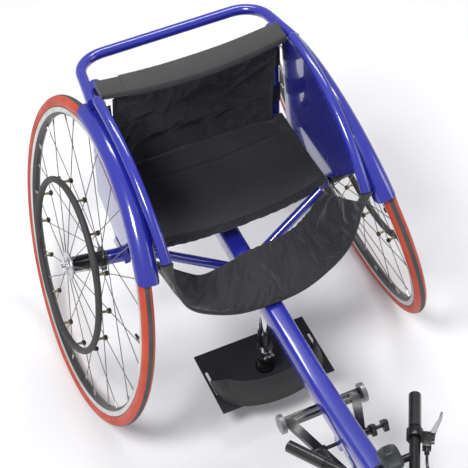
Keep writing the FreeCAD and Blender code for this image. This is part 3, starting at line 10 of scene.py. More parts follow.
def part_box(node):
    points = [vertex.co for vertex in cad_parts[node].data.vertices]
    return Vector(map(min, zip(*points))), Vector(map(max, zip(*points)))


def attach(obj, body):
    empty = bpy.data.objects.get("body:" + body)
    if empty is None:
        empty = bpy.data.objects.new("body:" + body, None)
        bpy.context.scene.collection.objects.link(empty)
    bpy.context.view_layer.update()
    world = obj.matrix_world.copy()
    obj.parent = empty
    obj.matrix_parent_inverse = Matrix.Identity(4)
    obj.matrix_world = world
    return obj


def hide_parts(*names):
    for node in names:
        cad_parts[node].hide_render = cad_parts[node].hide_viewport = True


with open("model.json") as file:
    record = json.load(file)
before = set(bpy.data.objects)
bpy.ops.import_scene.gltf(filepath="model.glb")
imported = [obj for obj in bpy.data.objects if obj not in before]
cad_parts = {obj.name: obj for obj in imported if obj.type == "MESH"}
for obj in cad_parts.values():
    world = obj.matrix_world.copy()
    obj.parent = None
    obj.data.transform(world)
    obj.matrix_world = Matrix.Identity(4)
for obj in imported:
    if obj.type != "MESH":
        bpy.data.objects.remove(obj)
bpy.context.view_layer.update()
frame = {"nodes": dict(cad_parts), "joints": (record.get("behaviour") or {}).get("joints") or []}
joints = {joint["name"]: joint for joint in frame["joints"]}
rear_axle = Vector(joints["rear_wheel_left_spin"]["pos_m"])
front_axle = Vector(joints["front_wheel_spin"]["pos_m"])
UP = Vector((0, 0, 1))
FORWARD = Vector((0, -1, 0))


def at(x, ahead, z):
    """A point given by its distance ahead of the rear axle."""
    return Vector((x, rear_axle.y - ahead, z))


def size_of(node):
    low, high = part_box(node)
    return high - low


# %% [markdown]
# The camera stands ahead of the chair, well above it and a little to the right hand side, with a long lens.
# Its place was worked out from the two rear wheels, which are equal circles leaning at a known angle, so
# every other part falls where the photograph has it. A small roll of the camera is real and is kept.
# %% Camera
CAMERA_PLACE = Vector((-0.6933, -1.29405, 2.5213))
CAMERA_TURN = math.radians(-21.552)
CAMERA_RISE = math.radians(48.886)
CAMERA_ROLL = math.radians(-3.176)
PHOTO_SIZE = 468.0
FOCAL_PIXELS = 1438.4
SENSOR = 36.0


def add_camera():
    back = Vector((math.sin(CAMERA_TURN) * math.cos(CAMERA_RISE),
                   -math.cos(CAMERA_TURN) * math.cos(CAMERA_RISE), math.sin(CAMERA_RISE)))
    level = Vector((math.cos(CAMERA_TURN), math.sin(CAMERA_TURN), 0))
    upright = back.cross(level)
    right = level * math.cos(CAMERA_ROLL) + upright * math.sin(CAMERA_ROLL)
    top = upright * math.cos(CAMERA_ROLL) - level * math.sin(CAMERA_ROLL)
    data = bpy.data.cameras.new("camera")
    data.sensor_width = SENSOR
    data.lens = FOCAL_PIXELS / PHOTO_SIZE * SENSOR
    data.clip_end = 100.0
    camera = bpy.data.objects.new("camera", data)
    camera.matrix_world = Matrix((
        (right.x, top.x, back.x, CAMERA_PLACE.x), (right.y, top.y, back.y, CAMERA_PLACE.y),
        (right.z, top.z, back.z, CAMERA_PLACE.z), (0, 0, 0, 1)))
    bpy.context.scene.collection.objects.link(camera)
    bpy.context.scene.camera = camera
    print("lens", round(data.lens, 1), "mm")


add_camera()

# %% [markdown]
# Gloss paint shows the room more than its own colour, so the light is part of the finish. Wide soft
# panels overhead give the long white streaks on the tubes, and a bright pale surrounding gives the
# lilac undersides, where the enamel mirrors the floor.
# %% Floor and light
FLOOR_SPAN = 14.0
FLOOR_COLOUR = (0.93, 0.93, 0.94, 1)
SURROUND = 0.42


def linked(data, name):
    thing = bpy.data.objects.new(name, data)
    bpy.context.scene.collection.objects.link(thing)
    return thing


def add_floor():
    half = FLOOR_SPAN / 2.0
    mesh = bpy.data.meshes.new("floor")
    mesh.from_pydata([(-half, -half, 0), (half, -half, 0), (half, half, 0), (-half, half, 0)], [], [(0, 1, 2, 3)])
    material = bpy.data.materials.new("pale_floor")
    material.use_nodes = True
    shader = material.node_tree.nodes["Principled BSDF"]
    shader.inputs["Base Color"].default_value = FLOOR_COLOUR
    shader.inputs["Roughness"].default_value = 0.75
    shader.inputs["Specular IOR Level"].default_value = 0.2
    mesh.materials.append(material)
    floor = linked(mesh, "floor")


def add_panel_light(name, place, aim, width, depth, power):
    data = bpy.data.lights.new(name, "AREA")
    data.shape = "RECTANGLE"
    data.size = width
    data.size_y = depth
    data.energy = power
    light = linked(data, name)
    light.location = place
    light.rotation_mode = "QUATERNION"
    light.rotation_quaternion = (Vector(aim) - Vector(place)).to_track_quat("-Z", "Y")


def add_surround():
    world = bpy.data.worlds.new("studio")
    world.use_nodes = True
    background = world.node_tree.nodes["Background"]
    background.inputs["Color"].default_value = (0.97, 0.98, 1.0, 1)
    background.inputs["Strength"].default_value = SURROUND
    bpy.context.scene.world = world


bpy.context.scene.view_settings.view_transform = "Standard"
add_floor()
add_surround()
add_panel_light("key", (-1.6, -0.6, 3.4), (0, 0.2, 0.3), 0.9, 0.9, 78)
add_panel_light("top", (0.6, 1.6, 3.2), (0, 0.2, 0.3), 2.4, 0.5, 46)
add_panel_light("side", (3.2, -1.2, 1.8), (0, 0, 0.4), 1.4, 1.4, 16)

# %% [markdown]
# Every finish here is a Principled shader fed by a few shared effects. An effect is a node group with named
# sockets: one for uneven colour and roughness, one for woven cloth, one for fine scratches. Groups put out
# only colours, values and normals, so the shader stays in its own material and keeps its plain settings.
# %% Shared effects
def new_group(name, inputs, outputs):
    """A shader node group with float or colour sockets, and its input and output nodes."""
    tree = bpy.data.node_groups.new(name, "ShaderNodeTree")
    for label, kind, default in inputs:
        socket = tree.interface.new_socket(name=label, in_out="INPUT", socket_type=kind)
        socket.default_value = default
    for label, kind in outputs:
        tree.interface.new_socket(name=label, in_out="OUTPUT", socket_type=kind)
    return tree, tree.nodes.new("NodeGroupInput"), tree.nodes.new("NodeGroupOutput")


COLOUR = "NodeSocketColor"
VALUE = "NodeSocketFloat"
NORMAL = "NodeSocketVector"


def make_uneven_group():
    """Cloudy change of colour and roughness, as handling and dust leave it."""
    tree, source, result = new_group(
        "uneven", [("Colour", COLOUR, (1, 1, 1, 1)), ("Other Colour", COLOUR, (0, 0, 0, 1)),
                   ("Scale", VALUE, 12.0), ("Low Roughness", VALUE, 0.3), ("High Roughness", VALUE, 0.5)],
        [("Colour", COLOUR), ("Roughness", VALUE), ("Mask", VALUE)])
    place = tree.nodes.new("ShaderNodeTexCoord")
    cloud = tree.nodes.new("ShaderNodeTexNoise")
    cloud.inputs["Detail"].default_value = 5.0
    spread = tree.nodes.new("ShaderNodeMapRange")
    spread.inputs["From Min"].default_value = 0.35
    spread.inputs["From Max"].default_value = 0.7
    mix = tree.nodes.new("ShaderNodeMix")
    mix.data_type = "RGBA"
    rough = tree.nodes.new("ShaderNodeMapRange")
    link = tree.links.new
    link(place.outputs["Object"], cloud.inputs["Vector"])
    link(source.outputs["Scale"], cloud.inputs["Scale"])
    link(cloud.outputs["Fac"], spread.inputs["Value"])
    link(spread.outputs["Result"], mix.inputs["Factor"])
    link(source.outputs["Colour"], mix.inputs["A"])
    link(source.outputs["Other Colour"], mix.inputs["B"])
    link(spread.outputs["Result"], rough.inputs["Value"])
    link(source.outputs["Low Roughness"], rough.inputs["To Min"])
    link(source.outputs["High Roughness"], rough.inputs["To Max"])
    link(mix.outputs["Result"], result.inputs["Colour"])
    link(rough.outputs["Result"], result.inputs["Roughness"])
    link(spread.outputs["Result"], result.inputs["Mask"])
    return tree


def make_weave_group():
    """Plain weave on any surface: two crossed thread waves, in real sizes."""
    tree, source, result = new_group(
        "weave", [("Threads per Metre", VALUE, 1500.0), ("Strength", VALUE, 0.3), ("Distance", VALUE, 0.0004)],
        [("Normal", NORMAL), ("Height", VALUE)])
    place = tree.nodes.new("ShaderNodeTexCoord")
    split = tree.nodes.new("ShaderNodeSeparateXYZ")
    link = tree.links.new
    link(place.outputs["Object"], split.inputs["Vector"])
    waves = []
    for first, second in (("X", "Y"), ("Y", "Z")):
        added = tree.nodes.new("ShaderNodeMath")
        link(split.outputs[first], added.inputs[0])
        link(split.outputs[second], added.inputs[1])
        turns = tree.nodes.new("ShaderNodeMath")
        turns.operation = "MULTIPLY"
        link(added.outputs["Value"], turns.inputs[0])
        link(source.outputs["Threads per Metre"], turns.inputs[1])
        wave = tree.nodes.new("ShaderNodeMath")
        wave.operation = "SINE"
        link(turns.outputs["Value"], wave.inputs[0])
        waves.append(wave)
    cross = tree.nodes.new("ShaderNodeMath")
    cross.operation = "MULTIPLY"
    link(waves[0].outputs["Value"], cross.inputs[0])
    link(waves[1].outputs["Value"], cross.inputs[1])
    bump = tree.nodes.new("ShaderNodeBump")
    link(cross.outputs["Value"], bump.inputs["Height"])
    link(source.outputs["Strength"], bump.inputs["Strength"])
    link(source.outputs["Distance"], bump.inputs["Distance"])
    link(bump.outputs["Normal"], result.inputs["Normal"])
    link(cross.outputs["Value"], result.inputs["Height"])
    return tree


def make_grain_group():
    """Fine bump of moulded, brushed or sprayed surfaces, stretched along one axis where asked."""
    tree, source, result = new_group(
        "grain", [("Scale", VALUE, 400.0), ("Stretch", VALUE, 1.0), ("Strength", VALUE, 0.1),
                  ("Distance", VALUE, 0.0005)],
        [("Normal", NORMAL), ("Mask", VALUE)])
    place = tree.nodes.new("ShaderNodeTexCoord")
    shape = tree.nodes.new("ShaderNodeCombineXYZ")
    shape.inputs["Y"].default_value = 1.0
    shape.inputs["Z"].default_value = 1.0
    scaled = tree.nodes.new("ShaderNodeVectorMath")
    scaled.operation = "MULTIPLY"
    speck = tree.nodes.new("ShaderNodeTexNoise")
    speck.inputs["Detail"].default_value = 3.0
    bump = tree.nodes.new("ShaderNodeBump")
    link = tree.links.new
    link(source.outputs["Stretch"], shape.inputs["X"])
    link(place.outputs["Object"], scaled.inputs[0])
    link(shape.outputs["Vector"], scaled.inputs[1])
    link(scaled.outputs["Vector"], speck.inputs["Vector"])
    link(source.outputs["Scale"], speck.inputs["Scale"])
    link(speck.outputs["Fac"], bump.inputs["Height"])
    link(source.outputs["Strength"], bump.inputs["Strength"])
    link(source.outputs["Distance"], bump.inputs["Distance"])
    link(bump.outputs["Normal"], result.inputs["Normal"])
    link(speck.outputs["Fac"], result.inputs["Mask"])
    return tree


UNEVEN = make_uneven_group()
WEAVE = make_weave_group()
GRAIN = make_grain_group()

# %% [markdown]
# One helper builds each finish: plain settings go straight on the shader, and the groups feed only what
# changes over the surface. Cloth adds sheen, enamel adds a clear coat, and metal is only metallic.
# %% Materials
def finish(name, colour, other, scale, roughness, bump=None, **settings):
    """A material from the uneven group, an optional bump group, and plain shader settings."""
    material = bpy.data.materials.new(name)
    material.use_nodes = True
    nodes, link = material.node_tree.nodes, material.node_tree.links.new
    shader = nodes["Principled BSDF"]
    cloud = nodes.new("ShaderNodeGroup")
    cloud.node_tree = UNEVEN
    cloud.inputs["Colour"].default_value = (*colour, 1)
    cloud.inputs["Other Colour"].default_value = (*other, 1)
    cloud.inputs["Scale"].default_value = scale
    cloud.inputs["Low Roughness"].default_value = roughness[0]
    cloud.inputs["High Roughness"].default_value = roughness[1]
    link(cloud.outputs["Colour"], shader.inputs["Base Color"])
    link(cloud.outputs["Roughness"], shader.inputs["Roughness"])
    if bump:
        group, values = bump
        relief = nodes.new("ShaderNodeGroup")
        relief.node_tree = group
        for label, value in values.items():
            relief.inputs[label].default_value = value
        link(relief.outputs["Normal"], shader.inputs["Normal"])
    for label, value in settings.items():
        shader.inputs[label.replace("_", " ")].default_value = value
    return material


blue_enamel = finish(
    "blue_enamel", (0.02, 0.026, 0.36), (0.017, 0.021, 0.3), 5.0, (0.22, 0.3),
    (GRAIN, {"Scale": 260.0, "Strength": 0.02, "Distance": 0.0004}),
    Coat_Weight=1.0, Coat_Roughness=0.03, Coat_IOR=1.6, Specular_IOR_Level=0.5)
black_nylon = finish(
    "black_nylon", (0.017, 0.017, 0.02), (0.026, 0.026, 0.03), 9.0, (0.62, 0.78),
    (WEAVE, {"Threads per Metre": 6500.0, "Strength": 0.25, "Distance": 0.0002}),
    Sheen_Weight=0.25, Sheen_Roughness=0.45, Specular_IOR_Level=0.35)
grey_band = finish(
    "grey_band", (0.032, 0.032, 0.034), (0.045, 0.045, 0.047), 14.0, (0.7, 0.85),
    (WEAVE, {"Threads per Metre": 3600.0, "Strength": 0.5, "Distance": 0.0003}),
    Sheen_Weight=0.3, Sheen_Roughness=0.5, Specular_IOR_Level=0.3)
webbing = finish(
    "webbing", (0.02, 0.02, 0.022), (0.032, 0.032, 0.034), 20.0, (0.6, 0.8),
    (WEAVE, {"Threads per Metre": 2600.0, "Strength": 0.8, "Distance": 0.0004}),
    Sheen_Weight=0.12, Sheen_Roughness=0.4)
seam_thread = finish("seam_thread", (0.07, 0.07, 0.075), (0.05, 0.05, 0.055), 60.0, (0.5, 0.7))
red_rubber = finish(
    "red_rubber", (0.6, 0.075, 0.035), (0.5, 0.055, 0.028), 18.0, (0.42, 0.55),
    (GRAIN, {"Scale": 700.0, "Strength": 0.12, "Distance": 0.0003}), Specular_IOR_Level=0.4)
tread_rubber = finish(
    "tread_rubber", (0.065, 0.072, 0.072), (0.1, 0.108, 0.105), 25.0, (0.6, 0.8),
    (GRAIN, {"Scale": 500.0, "Strength": 0.5, "Distance": 0.0006}), Specular_IOR_Level=0.3)
brake_track = finish(
    "brake_track", (0.72, 0.72, 0.71), (0.6, 0.6, 0.59), 30.0, (0.28, 0.42),
    (GRAIN, {"Scale": 900.0, "Strength": 0.15, "Distance": 0.0002}), Metallic=1.0)
dark_rim = finish("dark_rim", (0.035, 0.035, 0.038), (0.05, 0.05, 0.052), 20.0, (0.3, 0.42), Specular_IOR_Level=0.6)
spoke_steel = finish("spoke_steel", (0.16, 0.16, 0.165), (0.22, 0.22, 0.22), 60.0, (0.3, 0.42), Metallic=1.0)
silver_alloy = finish(
    "silver_alloy", (0.62, 0.62, 0.63), (0.5, 0.5, 0.51), 40.0, (0.24, 0.38),
    (GRAIN, {"Scale": 600.0, "Strength": 0.06, "Distance": 0.0003}), Metallic=1.0)
polished_chrome = finish("polished_chrome", (0.82, 0.82, 0.83), (0.72, 0.72, 0.74), 30.0, (0.06, 0.14), Metallic=1.0)
brass = finish("brass", (0.42, 0.34, 0.2), (0.3, 0.25, 0.15), 60.0, (0.34, 0.5), Metallic=1.0)
black_enamel = finish(
    "black_enamel", (0.006, 0.006, 0.007), (0.01, 0.01, 0.011), 16.0, (0.26, 0.36),
    (GRAIN, {"Scale": 420.0, "Strength": 0.04, "Distance": 0.0003}), Specular_IOR_Level=0.4, Coat_Weight=0.2, Coat_Roughness=0.12)
black_plastic = finish(
    "black_plastic", (0.01, 0.01, 0.011), (0.018, 0.018, 0.019), 30.0, (0.42, 0.55),
    (GRAIN, {"Scale": 900.0, "Strength": 0.15, "Distance": 0.0003}))
gloss_rubber = finish("gloss_rubber", (0.012, 0.012, 0.013), (0.018, 0.018, 0.02), 20.0, (0.18, 0.28),
                      Specular_IOR_Level=0.6, Coat_Weight=0.3, Coat_Roughness=0.1)
grip_tape = finish(
    "grip_tape", (0.008, 0.009, 0.013), (0.016, 0.017, 0.022), 40.0, (0.75, 0.92),
    (GRAIN, {"Scale": 1400.0, "Strength": 0.9, "Distance": 0.0005}))
disc_grey = finish("disc_grey", (0.3, 0.3, 0.31), (0.24, 0.24, 0.25), 40.0, (0.35, 0.5), Metallic=0.8)
case_grey = finish("case_grey", (0.022, 0.024, 0.027), (0.03, 0.033, 0.036), 50.0, (0.35, 0.45))
screen_glass = finish("screen_glass", (0.14, 0.17, 0.14), (0.12, 0.15, 0.12), 8.0, (0.12, 0.2),
                      Coat_Weight=1.0, Coat_Roughness=0.03)
print(len(bpy.data.materials), "finishes")

# %% [markdown]
# The helpers below make meshes from plain ideas: a ring from a cross section, a tube along a line, a plate
# from an outline, and a box with soft edges. Shading is smooth except where faces meet at a real edge.
# %% Mesh helpers
SHARP = math.radians(38)


def new_piece(name, points, faces, materials, slots=None, sharp=SHARP):
    mesh = bpy.data.meshes.new(name)
    mesh.from_pydata([tuple(point) for point in points], [], faces)
    for material in materials:
        mesh.materials.append(material)
    if slots:
        mesh.polygons.foreach_set("material_index", slots)
    mesh.shade_smooth()
    mesh.set_sharp_from_angle(angle=sharp)
    mesh.validate()
    return linked(mesh, name)


def joined(name, pieces):
    """One object from several, with their materials."""
    with bpy.context.temp_override(active_object=pieces[0], selected_editable_objects=pieces, object=pieces[0],
                                   selected_objects=pieces):
        bpy.ops.object.join()
    pieces[0].name = name
    pieces[0].data.name = name
    return pieces[0]


def square_to(direction):
    """Two unit vectors square to a direction."""
    side = direction.cross(UP)
    if side.length < 1e-4:
        side = direction.cross(Vector((0, 1, 0)))
    side.normalize()
    return side, direction.cross(side).normalized()


def tube(name, points, radius, material, sides=14, capped=True):
    """Round tube along points, with one radius or one for each point."""
    radii = radius if isinstance(radius, (list, tuple)) else [radius] * len(points)
    verts, faces = [], []
    side = None
    for index, point in enumerate(points):
        before = points[max(0, index - 1)]
        after = points[min(len(points) - 1, index + 1)]
        along = (after - before).normalized()
        if side is None:
            side, _ = square_to(along)
        side = (side - along * side.dot(along)).normalized()
        other = along.cross(side)
        for step in range(sides):
            angle = 2.0 * math.pi * step / sides
            verts.append(point + (side * math.cos(angle) + other * math.sin(angle)) * radii[index])
    for index in range(len(points) - 1):
        for step in range(sides):
            near, far = index * sides + step, index * sides + (step + 1) % sides
            faces.append((near, far, far + sides, near + sides))
    if capped:
        faces.append(tuple(range(sides - 1, -1, -1)))
        faces.append(tuple(range(len(verts) - sides, len(verts))))
    return new_piece(name, verts, faces, [material])


def rounded_box(name, size, matrix, material, edge=0.001, steps=3):
    mesh = bpy.data.meshes.new(name)
    form = bmesh.new()
    bmesh.ops.create_cube(form, size=1.0)
    bmesh.ops.scale(form, vec=size, verts=form.verts)
    bmesh.ops.bevel(form, geom=form.edges[:], offset=edge, segments=steps, profile=0.5, affect="EDGES")
    form.transform(matrix)
    form.to_mesh(mesh)
    form.free()
    mesh.materials.append(material)
    mesh.shade_smooth()
    mesh.set_sharp_from_angle(angle=SHARP)
    return linked(mesh, name)


def carry(piece, body, slot, *nodes):
    """The piece rides on a body and may stand for nodes of the model. Its slot is not used."""
    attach(piece, body)
    if nodes:
        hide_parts(*nodes)
    return piece


# %% [markdown]
# A wheel is easiest in its own frame: a distance from the axle, an angle forward from the top, and an
# offset outboard of the wheel's middle plane. The same frame serves the leaning rear wheels and the
# upright front wheel, because it is read from each wheel's joint.
# %% Wheel frame
class Wheel:
    """Places points round one wheel's axle."""

    def __init__(self, body, joint, tyre, rim):
        self.body = body
        self.centre = Vector(joints[joint]["pos_m"])
        self.axis = Vector(joints[joint]["axis"])
        self.top = self.axis.cross(FORWARD)
        if self.top.z < 0:
            self.top = -self.top
        self.radius = size_of(tyre).y / 2.0
        self.rim_radius = size_of(rim).y / 2.0

    def point(self, radius, angle, offset):
        out = FORWARD * math.sin(angle) + self.top * math.cos(angle)
        return self.centre + out * radius + self.axis * offset

    def ring(self, name, profile, materials, slots=None, steps=144):
        """Closed ring with a closed profile of (radius, offset) pairs."""
        count = len(profile)
        points = [self.point(radius, 2 * math.pi * step / steps, offset)
                  for step in range(steps) for radius, offset in profile]
        faces, indices = [], []
        for step in range(steps):
            following = (step + 1) % steps
            for corner in range(count):
                other = (corner + 1) % count
                faces.append((step * count + corner, step * count + other,
                              following * count + other, following * count + corner))
                indices.append(slots[corner] if slots else 0)
        return new_piece(name, points, faces, materials, indices)


left_wheel = Wheel("rear_wheel_left", "rear_wheel_left_spin", "rear_tyre_left", "rear_rim_left")
right_wheel = Wheel("rear_wheel_right", "rear_wheel_right_spin", "rear_tyre_right", "rear_rim_right")
front_wheel = Wheel("front_wheel", "front_wheel_spin", "front_tyre", "front_rim")
print("tyre radii", round(left_wheel.radius, 4), round(front_wheel.radius, 4))

# %% [markdown]
# The narrow tyre is a rubber tube with a dark tread strip down the middle and red walls. It could be a
# torus, but a tyre is fuller at its shoulders than a circle and tucks in under the rim's lip, so its own
# cross section is turned instead. Faces near the crown take the tread's material.
# %% Tyres
TREAD_HALF = 0.0046
TYRE_STEPS = 22


def tyre_profile(radius, seat, half):
    """Half outside, half inside: an egg shape from the rim's lip round the crown."""
    middle = (radius + seat) / 2.0 + 0.0004
    tall = radius - middle
    profile = []
    for step in range(TYRE_STEPS + 1):
        angle = math.radians(-128 + 256 * step / TYRE_STEPS)
        lift = math.cos(angle)
        reach = half * math.sin(angle) * (1.0 - 0.06 * max(0.0, lift))
        low = (middle - seat - 0.0008) / math.cos(math.radians(52))
        profile.append((middle + lift * (tall if lift > 0 else low), reach))
    return profile


def add_tyre(name, wheel, node, slot):
    half = 0.0125 if wheel is not front_wheel else 0.012
    profile = tyre_profile(wheel.radius, wheel.rim_radius, half)
    slots = []
    for index in range(len(profile)):
        following = profile[(index + 1) % len(profile)]
        middle = (profile[index][1] + following[1]) / 2.0
        slots.append(1 if abs(middle) < TREAD_HALF and profile[index][0] > wheel.rim_radius + 0.01 else 0)
    piece = wheel.ring(name, profile, [red_rubber, tread_rubber], slots, 160)
    return carry(piece, wheel.body, slot, node)


add_tyre("tyre_left", left_wheel, "rear_tyre_left", "tyre_rubber")
add_tyre("tyre_right", right_wheel, "rear_tyre_right", "tyre_rubber")
add_tyre("tyre_front", front_wheel, "front_tyre", "tyre_rubber")

# %% [markdown]
# The rim is a hollow alloy section with two machined brake tracks and a dark anodised box between
# them and the spokes. Each track is flat with a small lip at its outer edge, which hooks the tyre.
# %% Rims and valves
TRACK_DEPTH = 0.0105
RIM_DEPTH = 0.0165
NOSE_HALF = 0.0045
VALVE_LENGTH = 0.034


def add_rim(name, wheel, node, slot, half):
    outer = wheel.rim_radius
    inner = outer - RIM_DEPTH
    track = outer - TRACK_DEPTH
    side = [(outer - 0.0004, half - 0.0022), (outer, half - 0.0012), (outer - 0.0006, half), (outer - 0.0016, half),
            (outer - 0.0022, half - 0.0005), (track + 0.0006, half - 0.0005), (track, half - 0.001),
            (track - 0.003, half - 0.0028), (inner + 0.001, NOSE_HALF), (inner, NOSE_HALF - 0.0012)]
    other = [(radius, -offset) for radius, offset in reversed(side)]
    slots = [0] * 6 + [1] * 3 + [1] + [1] * 3 + [0] * 7
    piece = wheel.ring(name, side + other, [brake_track, dark_rim], slots, 144)
    stem_top = outer - RIM_DEPTH - VALVE_LENGTH
    angle = math.radians(77)
    stem = tube(name + "_valve", [wheel.point(inner, angle, 0), wheel.point(stem_top + 0.012, angle, 0)],
                0.0028, silver_alloy, 10)
    cap = tube(name + "_cap", [wheel.point(stem_top + 0.014, angle, 0), wheel.point(stem_top, angle, 0)],
               [0.0036, 0.0026], black_plastic, 10)
    return carry(joined(name, [piece, stem, cap]), wheel.body, slot, node)


add_rim("rim_left", left_wheel, "rear_rim_left", "rim_alloy", 0.01)
add_rim("rim_right", right_wheel, "rear_rim_right", "rim_alloy", 0.01)
add_rim("rim_front", front_wheel, "front_rim", "rim_alloy", 0.0095)

# %% [markdown]
# Spokes are thin steel wires with a threaded nipple at the rim. On the outboard flange they run straight
# out like rays, and the pushrim's clips hold them; on the inboard flange they cross, which carries the
# driving force. Each wire is a six-sided tube that thins in its middle, as double-butted spokes do.
# %% Spokes
REAR_SPOKES = 28
FRONT_SPOKES = 20
OUTER_OFFSET = 0.0365
INNER_OFFSET = -0.034
OUTER_FLANGE = 0.028
INNER_HOLE = 0.0215
SPOKE_LEAN = math.radians(60)
WIRE = 0.001
NIPPLE = 0.0019


def wire_points(start, end):
    return [start, start.lerp(end, 0.06), start.lerp(end, 0.1), start.lerp(end, 0.9), end]


def add_wire(name, start, end):
    wire = tube(name, wire_points(start, end), [WIRE, WIRE, WIRE * 0.88, WIRE * 0.88, WIRE], spoke_steel, 8)
    reach = (end - start).normalized()
    nipple = tube(name + "_nipple", [end - reach * 0.014, end - reach * 0.013, end - reach * 0.002, end],
                  [NIPPLE * 0.7, NIPPLE, NIPPLE, NIPPLE * 1.25], silver_alloy, 8)
    return [wire, nipple]


def add_rear_spokes(name, wheel, node):
    rim = wheel.rim_radius - RIM_DEPTH + 0.0004
    pieces = []
    for index in range(REAR_SPOKES // 2):
        angle = math.radians(index * 720.0 / REAR_SPOKES)
        crossed = math.radians((index + 0.5) * 720.0 / REAR_SPOKES)
        sense = 1 if index % 2 else -1
        face = INNER_OFFSET + (0.0027 if sense > 0 else -0.0036)
        pieces += add_wire("wire", wheel.point(OUTER_FLANGE - 0.001, angle, OUTER_OFFSET),
                           wheel.point(rim, angle, NOSE_HALF / 2))
        pieces += add_wire("wire", wheel.point(INNER_HOLE, crossed + sense * SPOKE_LEAN, face),
                           wheel.point(rim, crossed, -NOSE_HALF / 2))
    return carry(joined(name, pieces), wheel.body, "steel", node)


def add_front_spokes():
    wheel = front_wheel
    rim = wheel.rim_radius - RIM_DEPTH + 0.0004
    flange = size_of("front_hub").y / 2.0
    half = size_of("front_hub").x / 2.0 - 0.003
    pieces = []
    for index in range(FRONT_SPOKES):
        sense = 1 if index % 2 else -1
        angle = math.radians(index * 360.0 / FRONT_SPOKES)
        pieces += add_wire("wire", wheel.point(flange - 0.001, angle, sense * half),
                           wheel.point(rim, angle, sense * NOSE_HALF / 2))
    return carry(joined("spokes_front", pieces), wheel.body, "steel", "front_spokes")


add_rear_spokes("spokes_left", left_wheel, "rear_spokes_left")
add_rear_spokes("spokes_right", right_wheel, "rear_spokes_right")
add_front_spokes()

# %% [markdown]
# The hub's shell is a fat black barrel, its outer flange a pale machined disc and its inner flange a dark
# one. A turned profile with small chamfers gives the bright rings that catch light round each edge.
# %% Hubs
def add_rear_hub(name, wheel, node):
    bore, shell = 0.0066, 0.0155
    barrel = [(bore, -0.039), (0.0125, -0.039), (0.0135, -0.038), (shell - 0.001, -0.0362), (0.0245, -0.0355),
              (0.025, -0.035), (0.025, -0.033), (0.0245, -0.0325), (shell + 0.001, -0.032), (shell, -0.030),
              (shell + 0.0006, 0.0), (shell, 0.030), (shell + 0.001, 0.0343), (bore, 0.0345)]
    disc = [(bore, 0.0348), (OUTER_FLANGE - 0.0006, 0.0348), (OUTER_FLANGE, 0.0354), (OUTER_FLANGE, 0.0376),
            (OUTER_FLANGE - 0.0006, 0.0382), (0.0225, 0.0384), (0.0215, 0.0374), (0.0165, 0.0374),
            (0.0155, 0.0386), (0.0125, 0.0405), (bore, 0.0405)]
    shell_ring = wheel.ring(name, barrel, [black_enamel], steps=48)
    disc_ring = wheel.ring(name + "_disc", disc, [silver_alloy], steps=64)
    return carry(joined(name, [shell_ring, disc_ring]), wheel.body, "hub_alloy", node)


def add_front_hub():
    half = size_of("front_hub").x / 2.0
    flange = size_of("front_hub").y / 2.0
    side = [(0.0046, half), (0.009, half), (0.0105, half - 0.001), (flange, half - 0.0014),
            (flange, half - 0.0046), (0.012, half - 0.0062), (0.0105, half - 0.011)]
    profile = side + [(radius, -offset) for radius, offset in reversed(side)]
    return carry(front_wheel.ring("hub_front", profile, [black_enamel], steps=48), "front_wheel",
                 "hub_alloy", "front_hub")


add_rear_hub("hub_left", left_wheel, "rear_hub_left")
add_rear_hub("hub_right", right_wheel, "rear_hub_right")
add_front_hub()

# %% [markdown]
# The pushrim is a ring of small tube wrapped in dull black rubber, which the hands drive. Fourteen clips
# hold it off the outboard spokes: a black plastic block on each spoke and a short brass-coloured post.
# %% Pushrims and clips
PUSHRIM_OFFSET = 0.0393
PUSHRIM_TUBE = 0.0066
RING_REACH = 0.0075
RIM_SIDES = 20


def add_pushrim(name, wheel, node):
    middle = size_of(node).y / 2.0 - RING_REACH
    profile = [(middle + PUSHRIM_TUBE * math.cos(2 * math.pi * step / RIM_SIDES),
                PUSHRIM_OFFSET + PUSHRIM_TUBE * math.sin(2 * math.pi * step / RIM_SIDES)) for step in range(RIM_SIDES)]
    piece = wheel.ring(name, profile, [push_rubber])
    return carry(piece, wheel.body, "black_paint", node)


def add_clips(name, wheel, node, pushrim):
    middle = size_of(pushrim).y / 2.0 - RING_REACH
    rim = wheel.rim_radius - RIM_DEPTH
    share = (middle - OUTER_FLANGE) / (rim - OUTER_FLANGE)
    height = OUTER_OFFSET + (NOSE_HALF / 2 - OUTER_OFFSET) * share
    pieces = []
    for index in range(REAR_SPOKES // 2):
        angle = math.radians(index * 720.0 / REAR_SPOKES)
        out = (wheel.point(1.0, angle, 0) - wheel.point(0, angle, 0)).normalized()
        around = wheel.axis.cross(out)
        turn = Matrix((around, out, wheel.axis)).transposed().to_4x4()
        turn.translation = wheel.point(middle, angle, height)
        pieces.append(rounded_box("block", (0.009, 0.0085, 0.0072), turn, black_plastic, 0.0016))
        foot = height + 0.0034
        top = PUSHRIM_OFFSET - PUSHRIM_TUBE + 0.001
        post = [wheel.point(middle, angle, foot), wheel.point(middle, angle, foot + 0.002),
                wheel.point(middle, angle, foot + 0.0021), wheel.point(middle, angle, top)]
        pieces.append(tube("post", post, [0.0036, 0.0036, 0.0026, 0.0026], brass, 12))
    return carry(joined(name, pieces), wheel.body, "black_plastic", node)


push_rubber = finish(
    "push_rubber", (0.035, 0.035, 0.036), (0.055, 0.055, 0.055), 30.0, (0.55, 0.72),
    (GRAIN, {"Scale": 600.0, "Strength": 0.35, "Distance": 0.0005}))
add_pushrim("pushrim_ring_left", left_wheel, "pushrim_left")
add_pushrim("pushrim_ring_right", right_wheel, "pushrim_right")
add_clips("clips_left", left_wheel, "pushrim_tabs_left", "pushrim_left")
add_clips("clips_right", right_wheel, "pushrim_tabs_right", "pushrim_right")

